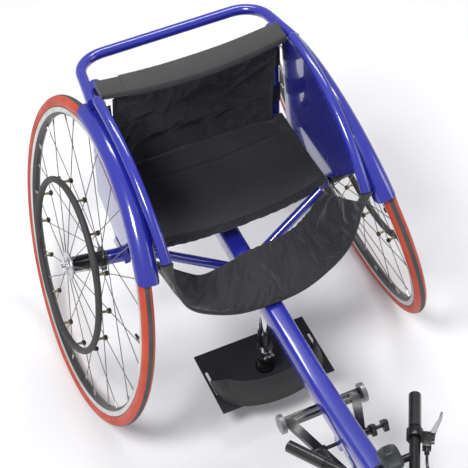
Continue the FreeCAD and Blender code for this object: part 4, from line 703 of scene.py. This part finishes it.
# %% [markdown]
# The cage is bent from round tube and enamelled, so its shine runs in long unbroken streaks. A streak
# shows every facet, and for that reason the tubes are drawn again here as smooth sweeps on the same lines
# as the model: an arc for each side, a hoop for pushing, and straight runs that end in a small weld bead.
# %% Enamelled tubes
SIDE_X = 0.2
SIDE_TUBE = 0.01
ARC_AHEAD = -0.02
ARC_Z = 0.337
ARC_RADIUS = 0.351
ARC_REAR = -6.0
ARC_FRONT = 51.8
TUBE_SIDES = 28
HOOP_TUBE = 0.011
HOOP_BEND = 0.06


def arc_at(x, degrees, radius=ARC_RADIUS):
    turn = math.radians(degrees)
    return at(x, ARC_AHEAD + radius * math.sin(turn), ARC_Z + radius * math.cos(turn))


def spread(first, last, count):
    return [first + (last - first) * step / count for step in range(count + 1)]


def add_side_tube(name, side, node):
    """Arc with a domed plug in its rear end."""
    points = [arc_at(side * SIDE_X, degrees) for degrees in spread(ARC_REAR, ARC_FRONT, 60)]
    back = (points[0] - points[1]).normalized()
    dome = [points[0] + back * distance for distance in (0.0095, 0.009, 0.0075, 0.005, 0.0025)]
    radii = [0.0012, 0.0035, 0.0063, 0.0083, 0.0095] + [SIDE_TUBE] * len(points)
    piece = tube(name, dome + points, radii, blue_enamel, TUBE_SIDES)
    return carry(piece, "frame", "blue_paint", node)


def rounded_run(points, bend, steps=12):
    """Points along straight runs whose corners are arcs of one radius."""
    path = [points[0]]
    for before, corner, after in zip(points, points[1:], points[2:]):
        inward, outward = (corner - before).normalized(), (after - corner).normalized()
        turn = inward.angle(outward)
        start = corner - inward * bend * math.tan(turn / 2.0)
        across = (outward - inward * inward.dot(outward)).normalized()
        for angle in spread(0.0, turn, steps):
            path.append(start + inward * bend * math.sin(angle) + across * bend * (1.0 - math.cos(angle)))
    return path + [points[-1]]


def bead(centre, axis, radius, material):
    """Ring of weld ripples round a tube's end."""
    side, other = square_to(axis.normalized())
    points = []
    for step in range(49):
        angle = 2.0 * math.pi * step / 48
        points.append(centre + (side * math.cos(angle) + other * math.sin(angle)) * radius)
    radii = [0.0015 + 0.0004 * math.sin(step * 1.9) for step in range(49)]
    return tube("bead", points, radii, material, 8, capped=False)


def add_push_bar():
    corner, start = at(0.19, -0.214, 0.654), at(0.208, -0.066, 0.674)
    mirror = Vector((-1, 1, 1))
    path = rounded_run([start, corner, corner * mirror, start * mirror], HOOP_BEND)
    return carry(tube("push_hoop", path, HOOP_TUBE, blue_enamel, TUBE_SIDES), "frame", "blue_paint", "push_bar")


def add_cage():
    """Back posts, seat rails, struts, stays and the cross tube, on both sides."""
    pieces = [tube("cross", [at(-0.172, -0.118, 0.43), at(0.172, -0.118, 0.43)], 0.008, blue_enamel, TUBE_SIDES)]
    for side in (-1, 1):
        runs = [(at(side * 0.184, -0.118, 0.38), at(side * 0.184, -0.118, 0.672), 0.0127),
                (at(side * 0.188, -0.106, 0.43), at(side * 0.188, 0.096, 0.43), 0.008),
                (at(side * 0.2065, -0.016, 0.3445), at(side * 0.1925, -0.106, 0.3825), 0.009),
                (at(side * 0.0215, 0.1273, 0.3105), at(side * 0.187, 0.0964, 0.411), 0.01)]
        for start, end, radius in runs:
            pieces.append(tube("run", [start, end], radius, blue_enamel, TUBE_SIDES))
        pieces.append(bead(at(side * 0.184, -0.106, 0.43), FORWARD, 0.0088, blue_enamel))
        pieces.append(bead(at(side * 0.172, -0.118, 0.43), Vector((1, 0, 0)), 0.0088, blue_enamel))
        pieces.append(bead(runs[3][0], runs[3][1] - runs[3][0], 0.0108, blue_enamel))
    return carry(joined("cage", pieces), "frame", "blue_paint", "cage_tubes")


add_side_tube("side_arc_left", 1, "side_tube_left")
add_side_tube("side_arc_right", -1, "side_tube_right")
add_push_bar()
add_cage()

# %% [markdown]
# A fender is a half-round channel that follows the tyre, trimmed flat where the side panel closes it.
# It is turned in the wheel's own frame with rounded corners at both ends, and then one cutting plane,
# the panel's outer face, takes off what lies inboard.
# %% Fenders
CHANNEL_MIDDLE = 0.3235
CHANNEL_OFFSET = -0.006
CHANNEL_BORE = 0.0203
CHANNEL_WALL = 0.002
CHANNEL_REAR = -16.0
CHANNEL_FRONT = 53.0
CORNER_TURN = 4.0
PANEL_SPLAY = math.radians(2.2)
PANEL_TOP = 0.688
PANEL_OUTER = 0.2015


def channel_point(wheel, bore_angle, radius, share):
    """A point of the channel's wall; its ends draw back towards the channel's edges."""
    corner = max(0.0, (abs(bore_angle) - 40.0) / 50.0)
    inset = CORNER_TURN * (1.0 - math.sqrt(max(0.0, 1.0 - corner ** 2)))
    angle = CHANNEL_REAR + inset + (CHANNEL_FRONT - CHANNEL_REAR - 2.0 * inset) * share
    turn = math.radians(bore_angle)
    return wheel.point(CHANNEL_MIDDLE + radius * math.cos(turn), math.radians(angle),
                       CHANNEL_OFFSET + radius * math.sin(turn))


def add_fender(name, wheel, side, node):
    walls = [(angle, CHANNEL_BORE + CHANNEL_WALL) for angle in spread(-90.0, 90.0, 28)]
    walls += [(angle, CHANNEL_BORE) for angle in spread(90.0, -90.0, 28)]
    count, steps = len(walls), 72
    points = [channel_point(wheel, angle, radius, step / steps) for step in range(steps + 1) for angle, radius in walls]
    faces = []
    for step in range(steps):
        for index in range(count):
            near, far = step * count + index, step * count + (index + 1) % count
            faces.append((near, far, far + count, near + count))
    half = count // 2
    for first in (0, steps * count):
        for index in range(half - 1):
            faces.append((first + index, first + index + 1, first + count - 2 - index, first + count - 1 - index))
    piece = new_piece(name, points, faces, [blue_enamel])
    form = bmesh.new()
    form.from_mesh(piece.data)
    plane = Vector((side * math.cos(PANEL_SPLAY), 0, math.sin(PANEL_SPLAY)))
    cut = bmesh.ops.bisect_plane(form, geom=form.verts[:] + form.edges[:] + form.faces[:],
                                 plane_co=(side * PANEL_OUTER, 0, PANEL_TOP), plane_no=plane, clear_inner=True)
    rim = [edge for edge in cut["geom_cut"] if isinstance(edge, bmesh.types.BMEdge)]
    bmesh.ops.holes_fill(form, edges=rim, sides=0)
    bmesh.ops.recalc_face_normals(form, faces=form.faces[:])
    form.to_mesh(piece.data)
    form.free()
    piece.data.shade_smooth()
    piece.data.set_sharp_from_angle(angle=SHARP)
    return carry(piece, "frame", "blue_paint", node)


add_fender("fender_shell_left", left_wheel, 1, "fender_left")
add_fender("fender_shell_right", right_wheel, -1, "fender_right")

# %% [markdown]
# Upholstery starts as plain sheets, each from a function that gives a point for two shares, across and
# along. Blender's cloth then does what real cloth does: the sheet is grown a few percent while its sewn
# edges are held, and the slack has to go somewhere, which gives folds that no formula would draw as well.
# %% Cloth helpers
CLOTH_FRAMES = 24
loose_sheets = []


def smooth_value(pairs, place):
    """Value at a place on the smooth curve through (place, value) pairs."""
    places = [pair[0] for pair in pairs]
    last = len(pairs) - 1
    index = min(max(int(np.searchsorted(places, place)) - 1, 0), last - 1)
    before, after = pairs[max(0, index - 1)], pairs[min(last, index + 2)]
    start, end = pairs[index], pairs[index + 1]
    span = end[0] - start[0]
    share = min(1.0, max(0.0, (place - start[0]) / span))
    slope_in = (end[1] - before[1]) / (end[0] - before[0]) * span
    slope_out = (after[1] - start[1]) / (after[0] - start[0]) * span
    square, cube = share ** 2, share ** 3
    return ((2 * cube - 3 * square + 1) * start[1] + (cube - 2 * square + share) * slope_in
            + (3 * square - 2 * cube) * end[1] + (cube - square) * slope_out)


def edge_line(points):
    """A function from a share to the smooth line through points, evenly along its length."""
    reach = [0.0]
    for before, after in zip(points, points[1:]):
        reach.append(reach[-1] + (after - before).length)
    axes = [[(place / reach[-1], point[axis]) for place, point in zip(reach, points)] for axis in range(3)]
    return lambda share: Vector([smooth_value(axis, share) for axis in axes])


def sheet_piece(name, surface, columns, rows, material):
    points = [surface(i / columns, j / rows) for j in range(rows + 1) for i in range(columns + 1)]
    wide = columns + 1
    faces = [(j * wide + i, j * wide + i + 1, (j + 1) * wide + i + 1, (j + 1) * wide + i)
             for j in range(rows) for i in range(columns)]
    return new_piece(name, points, faces, [material], sharp=math.pi)


def loosen(piece, columns, rows, held_rows, grow, cap, pull=0.0):
    """Marks a sheet for the cloth run, sewn down at its sides and along some rows."""
    sewn = piece.vertex_groups.new(name="sewn")
    wide = columns + 1
    for index in range(wide * (rows + 1)):
        row, column = divmod(index, wide)
        if column in (0, columns) or row in held_rows:
            sewn.add([index], 1.0, "REPLACE")
    cloth = piece.modifiers.new("cloth", "CLOTH")
    settings = cloth.settings
    settings.quality = 7
    settings.mass = 0.12
    settings.tension_stiffness = 22
    settings.compression_stiffness = 22
    settings.shear_stiffness = 8
    settings.bending_stiffness = 0.25
    settings.vertex_group_mass = "sewn"
    settings.shrink_min = -grow
    settings.shrink_max = -grow
    settings.effector_weights.gravity = pull
    cloth.collision_settings.use_collision = False
    cloth.point_cache.frame_end = CLOTH_FRAMES
    loose_sheets.append((piece, cap))


def settle():
    """Runs the cloth once for all sheets and keeps each point's move, up to its cap."""
    for step in range(1, CLOTH_FRAMES + 1):
        bpy.context.scene.frame_set(step)
    graph = bpy.context.evaluated_depsgraph_get()
    places = [[vertex.co.copy() for vertex in piece.evaluated_get(graph).data.vertices]
              for piece, cap in loose_sheets]
    for number, (piece, cap) in enumerate(loose_sheets):
        piece.modifiers.remove(piece.modifiers["cloth"])
        for vertex, place in zip(piece.data.vertices, places[number]):
            shift = place - vertex.co
            vertex.co += shift * min(1.0, cap / max(shift.length, 1e-9))
        piece.data.update()
    bpy.context.scene.frame_set(1)


def thicken(piece, thick, offset=-1.0):
    shell = piece.modifiers.new("thickness", "SOLIDIFY")
    shell.thickness = thick
    shell.offset = offset
    soft = piece.modifiers.new("soft", "SUBSURF")
    soft.levels = 1
    soft.render_levels = 1


def stitch_row(points, material, length=0.003, gap=0.0019, radius=0.00035):
    """Short thread stitches along a line of closely spaced points."""
    stitches, walked, position = [], 0.0, points[0]
    for before, after in zip(points, points[1:]):
        walked += (after - before).length
        if walked >= length + gap:
            along = (after - before).normalized()
            stitches.append(tube("stitch", [after - along * length, after], radius, material, 5))
            walked = 0.0
    return stitches


def bow(x, half):
    return max(0.0, 1.0 - (x / half) ** 2)


# %% [markdown]
# The seat is one nylon sling over two rails. It hangs deepest under the thighs, lies level at its rear
# edge, and at the front it rolls over a seam into a plain band. The raised rear seam is a fold of the
# same cloth, drawn as a low ridge with a line of thread beside it.
# %% Seat
SEAT_HALF = 0.196
SEAT_SLUNG = 0.178
SEAT_LEVEL = 0.4453
SEAT_COLUMNS = 84
SEAT_ROWS = 64
SEAT_DIPS = ((-0.124, 0.0), (-0.096, 0.002), (-0.056, 0.02), (-0.006, 0.033), (0.04, 0.0325), (0.084, 0.029),
             (0.095, 0.031))
REAR_SEAM = -0.058
LIP_AHEAD = 0.095
TOP_SHARE = 0.84


def seat_lip(x):
    sag = bow(x, SEAT_SLUNG)
    return SEAT_LEVEL - 0.026 * sag - 0.004 * min(1.0, 4.0 * sag)


def seat_tail(x):
    inner = min(1.0, max(0.0, (0.171 - abs(x)) / 0.006))
    return -0.1035 - 0.0185 * inner


def seat_point(across, along):
    x = SEAT_HALF * (2.0 * across - 1.0)
    sag = bow(x, SEAT_SLUNG)
    if along <= TOP_SHARE:
        tail = seat_tail(x)
        ahead = tail + (LIP_AHEAD - 0.003 - tail) * along / TOP_SHARE
        z = SEAT_LEVEL - smooth_value(SEAT_DIPS, ahead) * sag
        z += 0.003 * noise.noise(Vector((x * 13.0, ahead * 16.0, 2.0))) * min(1.0, 2.0 * sag)
        z += 0.0022 * math.exp(-((ahead - REAR_SEAM) / 0.0028) ** 2) * min(1.0, 3.0 * sag)
        return at(x, ahead, z)
    drop = (along - TOP_SHARE) / (1.0 - TOP_SHARE)
    lip = seat_lip(x)
    foot = min(0.424 - 0.033 * math.sqrt(sag), lip - 0.007)
    return at(x, LIP_AHEAD + 0.0015 * math.sin(math.pi * drop), lip - 0.0015 - (lip - foot - 0.0015) * drop)


def add_seat():
    rows_top = round(SEAT_ROWS * TOP_SHARE)
    piece = sheet_piece("seat_cloth", seat_point, SEAT_COLUMNS, SEAT_ROWS, black_nylon)
    held = {0, 1, rows_top, rows_top + 1, SEAT_ROWS}
    loosen(piece, SEAT_COLUMNS, SEAT_ROWS, held, 0.035, 0.007, 0.3)
    return piece


def dress_seat(piece):
    thicken(piece, 0.0035)
    lip = [at(x, LIP_AHEAD + 0.0008, seat_lip(x) - 0.001) for x in spread(-0.19, 0.19, 120)]
    pieces = [tube("lip_seam", lip, 0.0013, black_nylon, 8)]
    for shift in (-0.0055, 0.0055):
        line = [seat_point((x / SEAT_HALF + 1.0) / 2.0, TOP_SHARE * (REAR_SEAM + shift - seat_tail(x))
                           / (LIP_AHEAD - 0.003 - seat_tail(x))) + UP * 0.0006 for x in spread(-0.165, 0.165, 240)]
        pieces += stitch_row(line, seam_thread)
    band = [at(x, LIP_AHEAD + 0.0022, seat_lip(x) - 0.0055) for x in spread(-0.18, 0.18, 260)]
    pieces += stitch_row(band, seam_thread)
    seams = carry(joined("seat_seams", pieces), "frame", "black_cloth")
    carry(piece, "frame", "black_cloth", "seat_sling")


# %% [markdown]
# The back rest hangs from the roll at its top and laces to the posts with four webbing loops. Two seams
# run across and sag with the cloth. Under the roll the cloth is gathered, so it starts with small upright
# puckers there, and the cloth run deepens them.
# %% Back rest
BACK_HALF = 0.168
BACK_TOP = 0.6707
BACK_FOOT = 0.4455
BACK_COLUMNS = 84
BACK_ROWS = 60
BACK_SEAMS = (0.42, 0.68)


def back_point(across, along):
    x = BACK_HALF * (2.0 * across - 1.0)
    sag = bow(x, BACK_HALF)
    belly = 0.024 * math.sin(math.pi * (0.15 + 0.7 * along)) * (0.4 + 0.6 * sag)
    pucker = 0.0055 * math.exp(-along / 0.16) * noise.noise(Vector((x * 55.0, along * 2.0, 7.0)))
    fold = 0.005 * noise.noise(Vector((x * 15.0 + along * 3.5, along * 4.0 - x * 6.0, 1.0))) * min(1.0, 3.0 * sag)
    ditch = sum(math.exp(-((along - seam) / 0.012) ** 2) for seam in BACK_SEAMS)
    depth = belly + pucker + fold * (1.0 - min(1.0, ditch)) + 0.002 * ditch
    sagging = 0.01 * sag * math.sin(math.pi * along)
    return at(x, -0.058 - 0.034 * along - depth, BACK_TOP + (BACK_FOOT - BACK_TOP) * along - sagging)


def add_back():
    piece = sheet_piece("back_cloth", back_point, BACK_COLUMNS, BACK_ROWS, black_nylon)
    held = {0, BACK_ROWS} | {round(BACK_ROWS * seam) for seam in BACK_SEAMS}
    loosen(piece, BACK_COLUMNS, BACK_ROWS, held, 0.06, 0.009)
    return piece


def dress_back(piece):
    thicken(piece, 0.003, 1.0)
    pieces = []
    for across in (0.0, 1.0):
        edge = [back_point(across, along) for along in spread(0.0, 1.0, 40)]
        pieces.append(tube("edge", edge, 0.0026, black_nylon, 10))
    for seam in BACK_SEAMS:
        line = [back_point(across, seam) + FORWARD * 0.0004 for across in spread(0.02, 0.98, 280)]
        pieces += stitch_row(line, seam_thread)
    seams = carry(joined("back_seams", pieces), "frame", "black_cloth")
    carry(piece, "frame", "black_cloth", "back_upholstery")


# %% [markdown]
# The roll over the back is a firm pad in charcoal cloth. Its cover is closed by a flap that stops short
# of the right end, where one step down shows the pad itself. Both are lofts of rounded sections, whose
# edges bow forwards in the middle.
# %% Back roll
def roll_outline(x, grown=0.0):
    """Rounded section across the roll, as points in space."""
    sag = bow(x, 0.189)
    high = 0.69 - 0.006 * sag + grown
    low = high - 0.013 - 2.0 * grown
    front = -0.062 + 0.017 * sag + grown
    rear = -0.109 + 0.01 * sag - grown
    corner = 0.005
    outline = []
    for turn, (ahead, z) in enumerate(((front, high), (rear, high), (rear, low), (front, low))):
        inward_ahead = -corner if ahead == front else corner
        inward_z = -corner if z == high else corner
        for angle in spread(90.0 * turn, 90.0 * turn + 90.0, 5):
            lean = math.radians(angle)
            outline.append(at(x, ahead + inward_ahead + corner * math.cos(lean), z + inward_z + corner * math.sin(lean)))
    return outline


def loft(name, sections, material):
    count = len(sections[0])
    points = [point for section in sections for point in section]
    faces = []
    for step in range(len(sections) - 1):
        for index in range(count):
            near, far = step * count + index, step * count + (index + 1) % count
            faces.append((near, far, far + count, near + count))
    faces.append(tuple(range(count - 1, -1, -1)))
    faces.append(tuple(range(len(points) - count, len(points))))
    return new_piece(name, points, faces, [material], sharp=math.radians(60))


def add_roll():
    pad = loft("roll", [roll_outline(x) for x in spread(-0.189, 0.188, 60)], grey_band)
    cover = loft("cover", [roll_outline(x, 0.0016) for x in spread(-0.141, 0.1885, 56)], grey_band)
    flap = sheet_piece("flap", lambda across, along: at(
        0.167 * (2 * across - 1), -0.109 + 0.01 * bow(0.167 * (2 * across - 1), 0.189) - 0.003 - 0.003 * along,
        0.682 - 0.036 * along), 40, 6, grey_band)
    thicken(flap, 0.002)
    piping = [at(x, -0.062 + 0.017 * bow(x, 0.189) + 0.0022, 0.6835 - 0.006 * bow(x, 0.189))
              for x in spread(-0.187, 0.187, 90)]
    edge = [at(x, -0.062 + 0.017 * bow(x, 0.189) - 0.008, 0.6919 - 0.006 * bow(x, 0.189)) for x in spread(-0.138, 0.186, 300)]
    pieces = [pad, cover, flap, tube("piping", piping, 0.0016, black_nylon, 8)] + stitch_row(edge, seam_thread)
    roll = carry(joined("back_rest_roll", pieces), "frame", "black_cloth", "back_roll")


# %% [markdown]
# Webbing is woven flat and keeps its thickness in every bend, so each strap is a ribbon with two faces
# and two edges, swept along the line it takes: round a back post, round a seat rail, or over the toes.
# %% Webbing straps
POST = (0.184, -0.118, 0.0127)
STRAP_GAP = 0.0013


def ribbon(name, low_line, high_line, thick, material):
    """A strap between two edge lines of as many points."""
    points = list(low_line) + list(high_line)
    count = len(low_line)
    faces = [(index, index + 1, index + 1 + count, index + count) for index in range(count - 1)]
    piece = new_piece(name, points, faces, [material], sharp=math.pi)
    shell = piece.modifiers.new("thickness", "SOLIDIFY")
    shell.thickness = thick
    shell.offset = 0.0
    return piece


def add_back_straps():
    pieces = []
    reach = POST[2] + STRAP_GAP
    for side in (-1, 1):
        for height in (0.598, 0.502):
            path = [(BACK_HALF - 0.004, POST[1] + reach - 0.0005), (BACK_HALF + 0.006, POST[1] + reach)]
            path += [(POST[0] + reach * math.sin(math.radians(turn)), POST[1] + reach * math.cos(math.radians(turn)))
                     for turn in spread(0.0, 290.0, 30)]
            edges = [[at(side * x, ahead, height + lift) for x, ahead in path] for lift in (-0.021, 0.021)]
            pieces.append(ribbon("loop", edges[0], edges[1], 0.0016, webbing))
    carry(joined("back_loops", pieces), "frame", "webbing", "back_straps")


def toe_edge(share, low):
    """One edge of the toe strap, whose ends dive into the plate's slots."""
    swing = max(0.0, math.cos(share * math.pi / 2.0)) ** 0.8
    x = 0.118 * math.sin(share * math.pi / 2.0)
    if low:
        return at(x, 0.238 + 0.073 * swing, 0.0812)
    lean = 0.004 * share
    return at(x, 0.208 + 0.079 * swing, 0.0812 + (0.0515 - lean) * min(1.0, 1.6 * swing) + 0.0015)


def add_toe_strap():
    shares = spread(-1.0, 1.0, 72)
    low = [toe_edge(share, True) for share in shares]
    high = [toe_edge(share, False) for share in shares]
    tuck = Vector((0, 0, -0.0085))
    low = [low[0] + tuck] + low + [low[-1] + tuck]
    high = [high[0] + tuck] + high + [high[-1] + tuck]
    strap = ribbon("toe_band", low, high, 0.0024, webbing)
    carry(strap, "footrest", "webbing", "foot_strap")


add_back_straps()
add_toe_strap()

# %% [markdown]
# The front sling carries the shins. It is a quilted bag between two curved edges: gathered at its rear,
# hemmed with piping and a dark band at its front, and drawn up at each end into a sleeve over the tube's
# plug. The bag starts as a shallow lens with slanting folds and is then puffed by the cloth run.
# %% Front sling
SLING_REAR = ((-0.192, 0.112, 0.400), (-0.160, 0.133, 0.388), (-0.134, 0.155, 0.382), (-0.109, 0.172, 0.379),
              (-0.073, 0.170, 0.377), (0.0, 0.156, 0.375), (0.078, 0.150, 0.378), (0.120, 0.138, 0.383),
              (0.170, 0.112, 0.396), (0.192, 0.100, 0.408))
SLING_HEM = ((-0.193, 0.257, 0.53), (-0.184, 0.256, 0.462), (-0.164, 0.257, 0.41), (-0.128, 0.262, 0.38),
             (-0.07, 0.272, 0.361), (0.0, 0.277, 0.359), (0.07, 0.272, 0.361), (0.128, 0.262, 0.38),
             (0.164, 0.257, 0.41), (0.184, 0.256, 0.462), (0.193, 0.257, 0.53))
SLING_COLUMNS = 110
SLING_ROWS = 34
rear_line = edge_line([at(*point) for point in SLING_REAR])
hem_line = edge_line([at(*point) for point in SLING_HEM])


def sling_point(across, along, depth):
    """A point of the bag: depth is 1 for its upper face and negative for its lower one."""
    rear, hem = rear_line(across), hem_line(across)
    chord = hem - rear
    ahead_line = (rear_line(min(1.0, across + 0.01)) + hem_line(min(1.0, across + 0.01))
                  - rear_line(max(0.0, across - 0.01)) - hem_line(max(0.0, across - 0.01)))
    normal = chord.cross(ahead_line).normalized()
    if normal.dot(Vector((-(across - 0.5), 0.0, 0.35))) < 0:
        normal = -normal
    outward = abs(2.0 * across - 1.0)
    swell = math.sin(math.pi * along)
    pouch = 0.026 * math.sin(math.pi * min(1.0, outward ** 2)) + 0.004
    puff = (0.013 - 0.006 * outward) * swell ** 0.6
    slant = across * 17.0 + along * 2.2
    crease = noise.noise(Vector((slant, along * 1.3, 4.0))) + 0.5 * noise.noise(Vector((slant * 2.3, along * 2.0, 9.0)))
    folds = 0.0075 * crease * swell ** 0.5 * (0.35 + along) if depth > 0 else 0.0
    return rear + chord * along - UP * pouch * swell + normal * (depth * puff + folds)


def add_sling():
    upper = sheet_piece("sling_cloth", lambda across, along: sling_point(across, along, 1.0),
                        SLING_COLUMNS, SLING_ROWS, black_nylon)
    loosen(upper, SLING_COLUMNS, SLING_ROWS, {0, SLING_ROWS}, 0.09, 0.008)
    return upper


def add_sleeve(side):
    """Cloth sleeve from the side of the sling up over the tube's plug."""
    end, out = arc_at(side * SIDE_X, ARC_FRONT), Vector((0, -math.cos(math.radians(ARC_FRONT)),
                                                        -math.sin(math.radians(ARC_FRONT))))
    across, level = square_to(out)
    hem, rear = hem_line(1.0 if side > 0 else 0.0), rear_line(1.0 if side > 0 else 0.0)
    sections = []
    for share in spread(0.0, 1.0, 14):
        centre = (end + out * 0.004).lerp(hem.lerp(rear, 0.12) - UP * 0.03, share)
        wide = 0.0125 + 0.012 * share
        thin = 0.0125 - 0.0085 * share
        sections.append([centre + Vector((1, 0, 0)) * thin * math.cos(angle)
                         + across.cross(Vector((1, 0, 0))).normalized() * 0.0 + level * wide * math.sin(angle)
                         for angle in spread(0.0, 2.0 * math.pi * 23 / 24, 23)])
    return loft("sleeve", sections, black_nylon)


def dress_sling(upper):
    lower = sheet_piece("sling_lining", lambda across, along: sling_point(across, along, -0.5), 80, 16, black_nylon)
    shares = spread(0.0, 1.0, 140)
    hem = [hem_line(share) for share in shares]
    band_foot = [point - UP * 0.011 + Vector((0, 0.003, 0)) for point in hem]
    pieces = [tube("hem_piping", hem, 0.0031, black_nylon, 10),
              tube("rear_piping", [rear_line(share) for share in shares], 0.0024, black_nylon, 8),
              ribbon("hem_band", band_foot, hem, 0.003, dark_hem), add_sleeve(1), add_sleeve(-1)]
    carry(upper, "frame", "black_cloth", "front_sling")
    thicken(upper, 0.0022)
    extra = carry(joined("sling_trim", pieces + [lower]), "frame", "black_cloth")
    return extra


dark_hem = finish("dark_hem", (0.008, 0.008, 0.009), (0.013, 0.013, 0.014), 20.0, (0.6, 0.8),
                  (WEAVE, {"Threads per Metre": 5200.0, "Strength": 0.3, "Distance": 0.0002}))
seat_cloth, back_cloth, sling_cloth = add_seat(), add_back(), add_sling()
settle()
dress_seat(seat_cloth)
dress_back(back_cloth)
dress_sling(sling_cloth)
add_roll()

# %% [markdown]
# The welded parts have the right shape already. Their meshes only need their facets read as round, so each
# gets a weld of its split corners, smooth shading with real edges kept, and a small bevel where light
# would catch a rounded corner. None of this moves a part.
# %% Finishes for the model's own parts
def dress(node, material, bevel=0.0, sharp=40):
    thing = frame["nodes"][node]
    thing.data.materials.clear()
    thing.data.materials.append(material)
    thing.data.shade_smooth()
    weld = thing.modifiers.new("weld", "WELD")
    weld.merge_threshold = 0.00002
    if bevel:
        edge = thing.modifiers.new("bevel", "BEVEL")
        edge.width = bevel
        edge.segments = 2
        edge.limit_method = "ANGLE"
        edge.angle_limit = math.radians(sharp)
    split = thing.modifiers.new("real edges", "EDGE_SPLIT")
    split.split_angle = math.radians(sharp)
    return thing


for node in ("head_tube", "axle_tube", "side_panel_left", "side_panel_right", "fork"):
    dress(node, blue_enamel)
dress("main_beam", blue_enamel, sharp=50)
for node in ("footrest_post", "footrest_base", "headset_cups", "handlebar", "damper_cylinder"):
    dress(node, black_enamel)
for node in ("compensator_frame", "brake_clamp"):
    dress(node, black_enamel, 0.0006)
for node in ("footrest_stem", "footrest_collar", "damper_rod", "axle_pins"):
    dress(node, polished_chrome)
for node in ("brake_lever", "caliper_left", "caliper_right"):
    dress(node, silver_alloy, 0.0005)
for node in ("release_button_left", "release_button_right"):
    dress(node, silver_alloy)
for node in ("stop_screw_left", "stop_screw_right", "lock_knob_left", "tube_plugs", "computer_button"):
    dress(node, black_plastic)
dress("compensator_pads", disc_grey)
dress("grips", gloss_rubber)
dress("brake_cable", gloss_rubber, sharp=75)
dress("footplate", grip_tape, 0.0008)
dress("computer", case_grey, 0.0008)
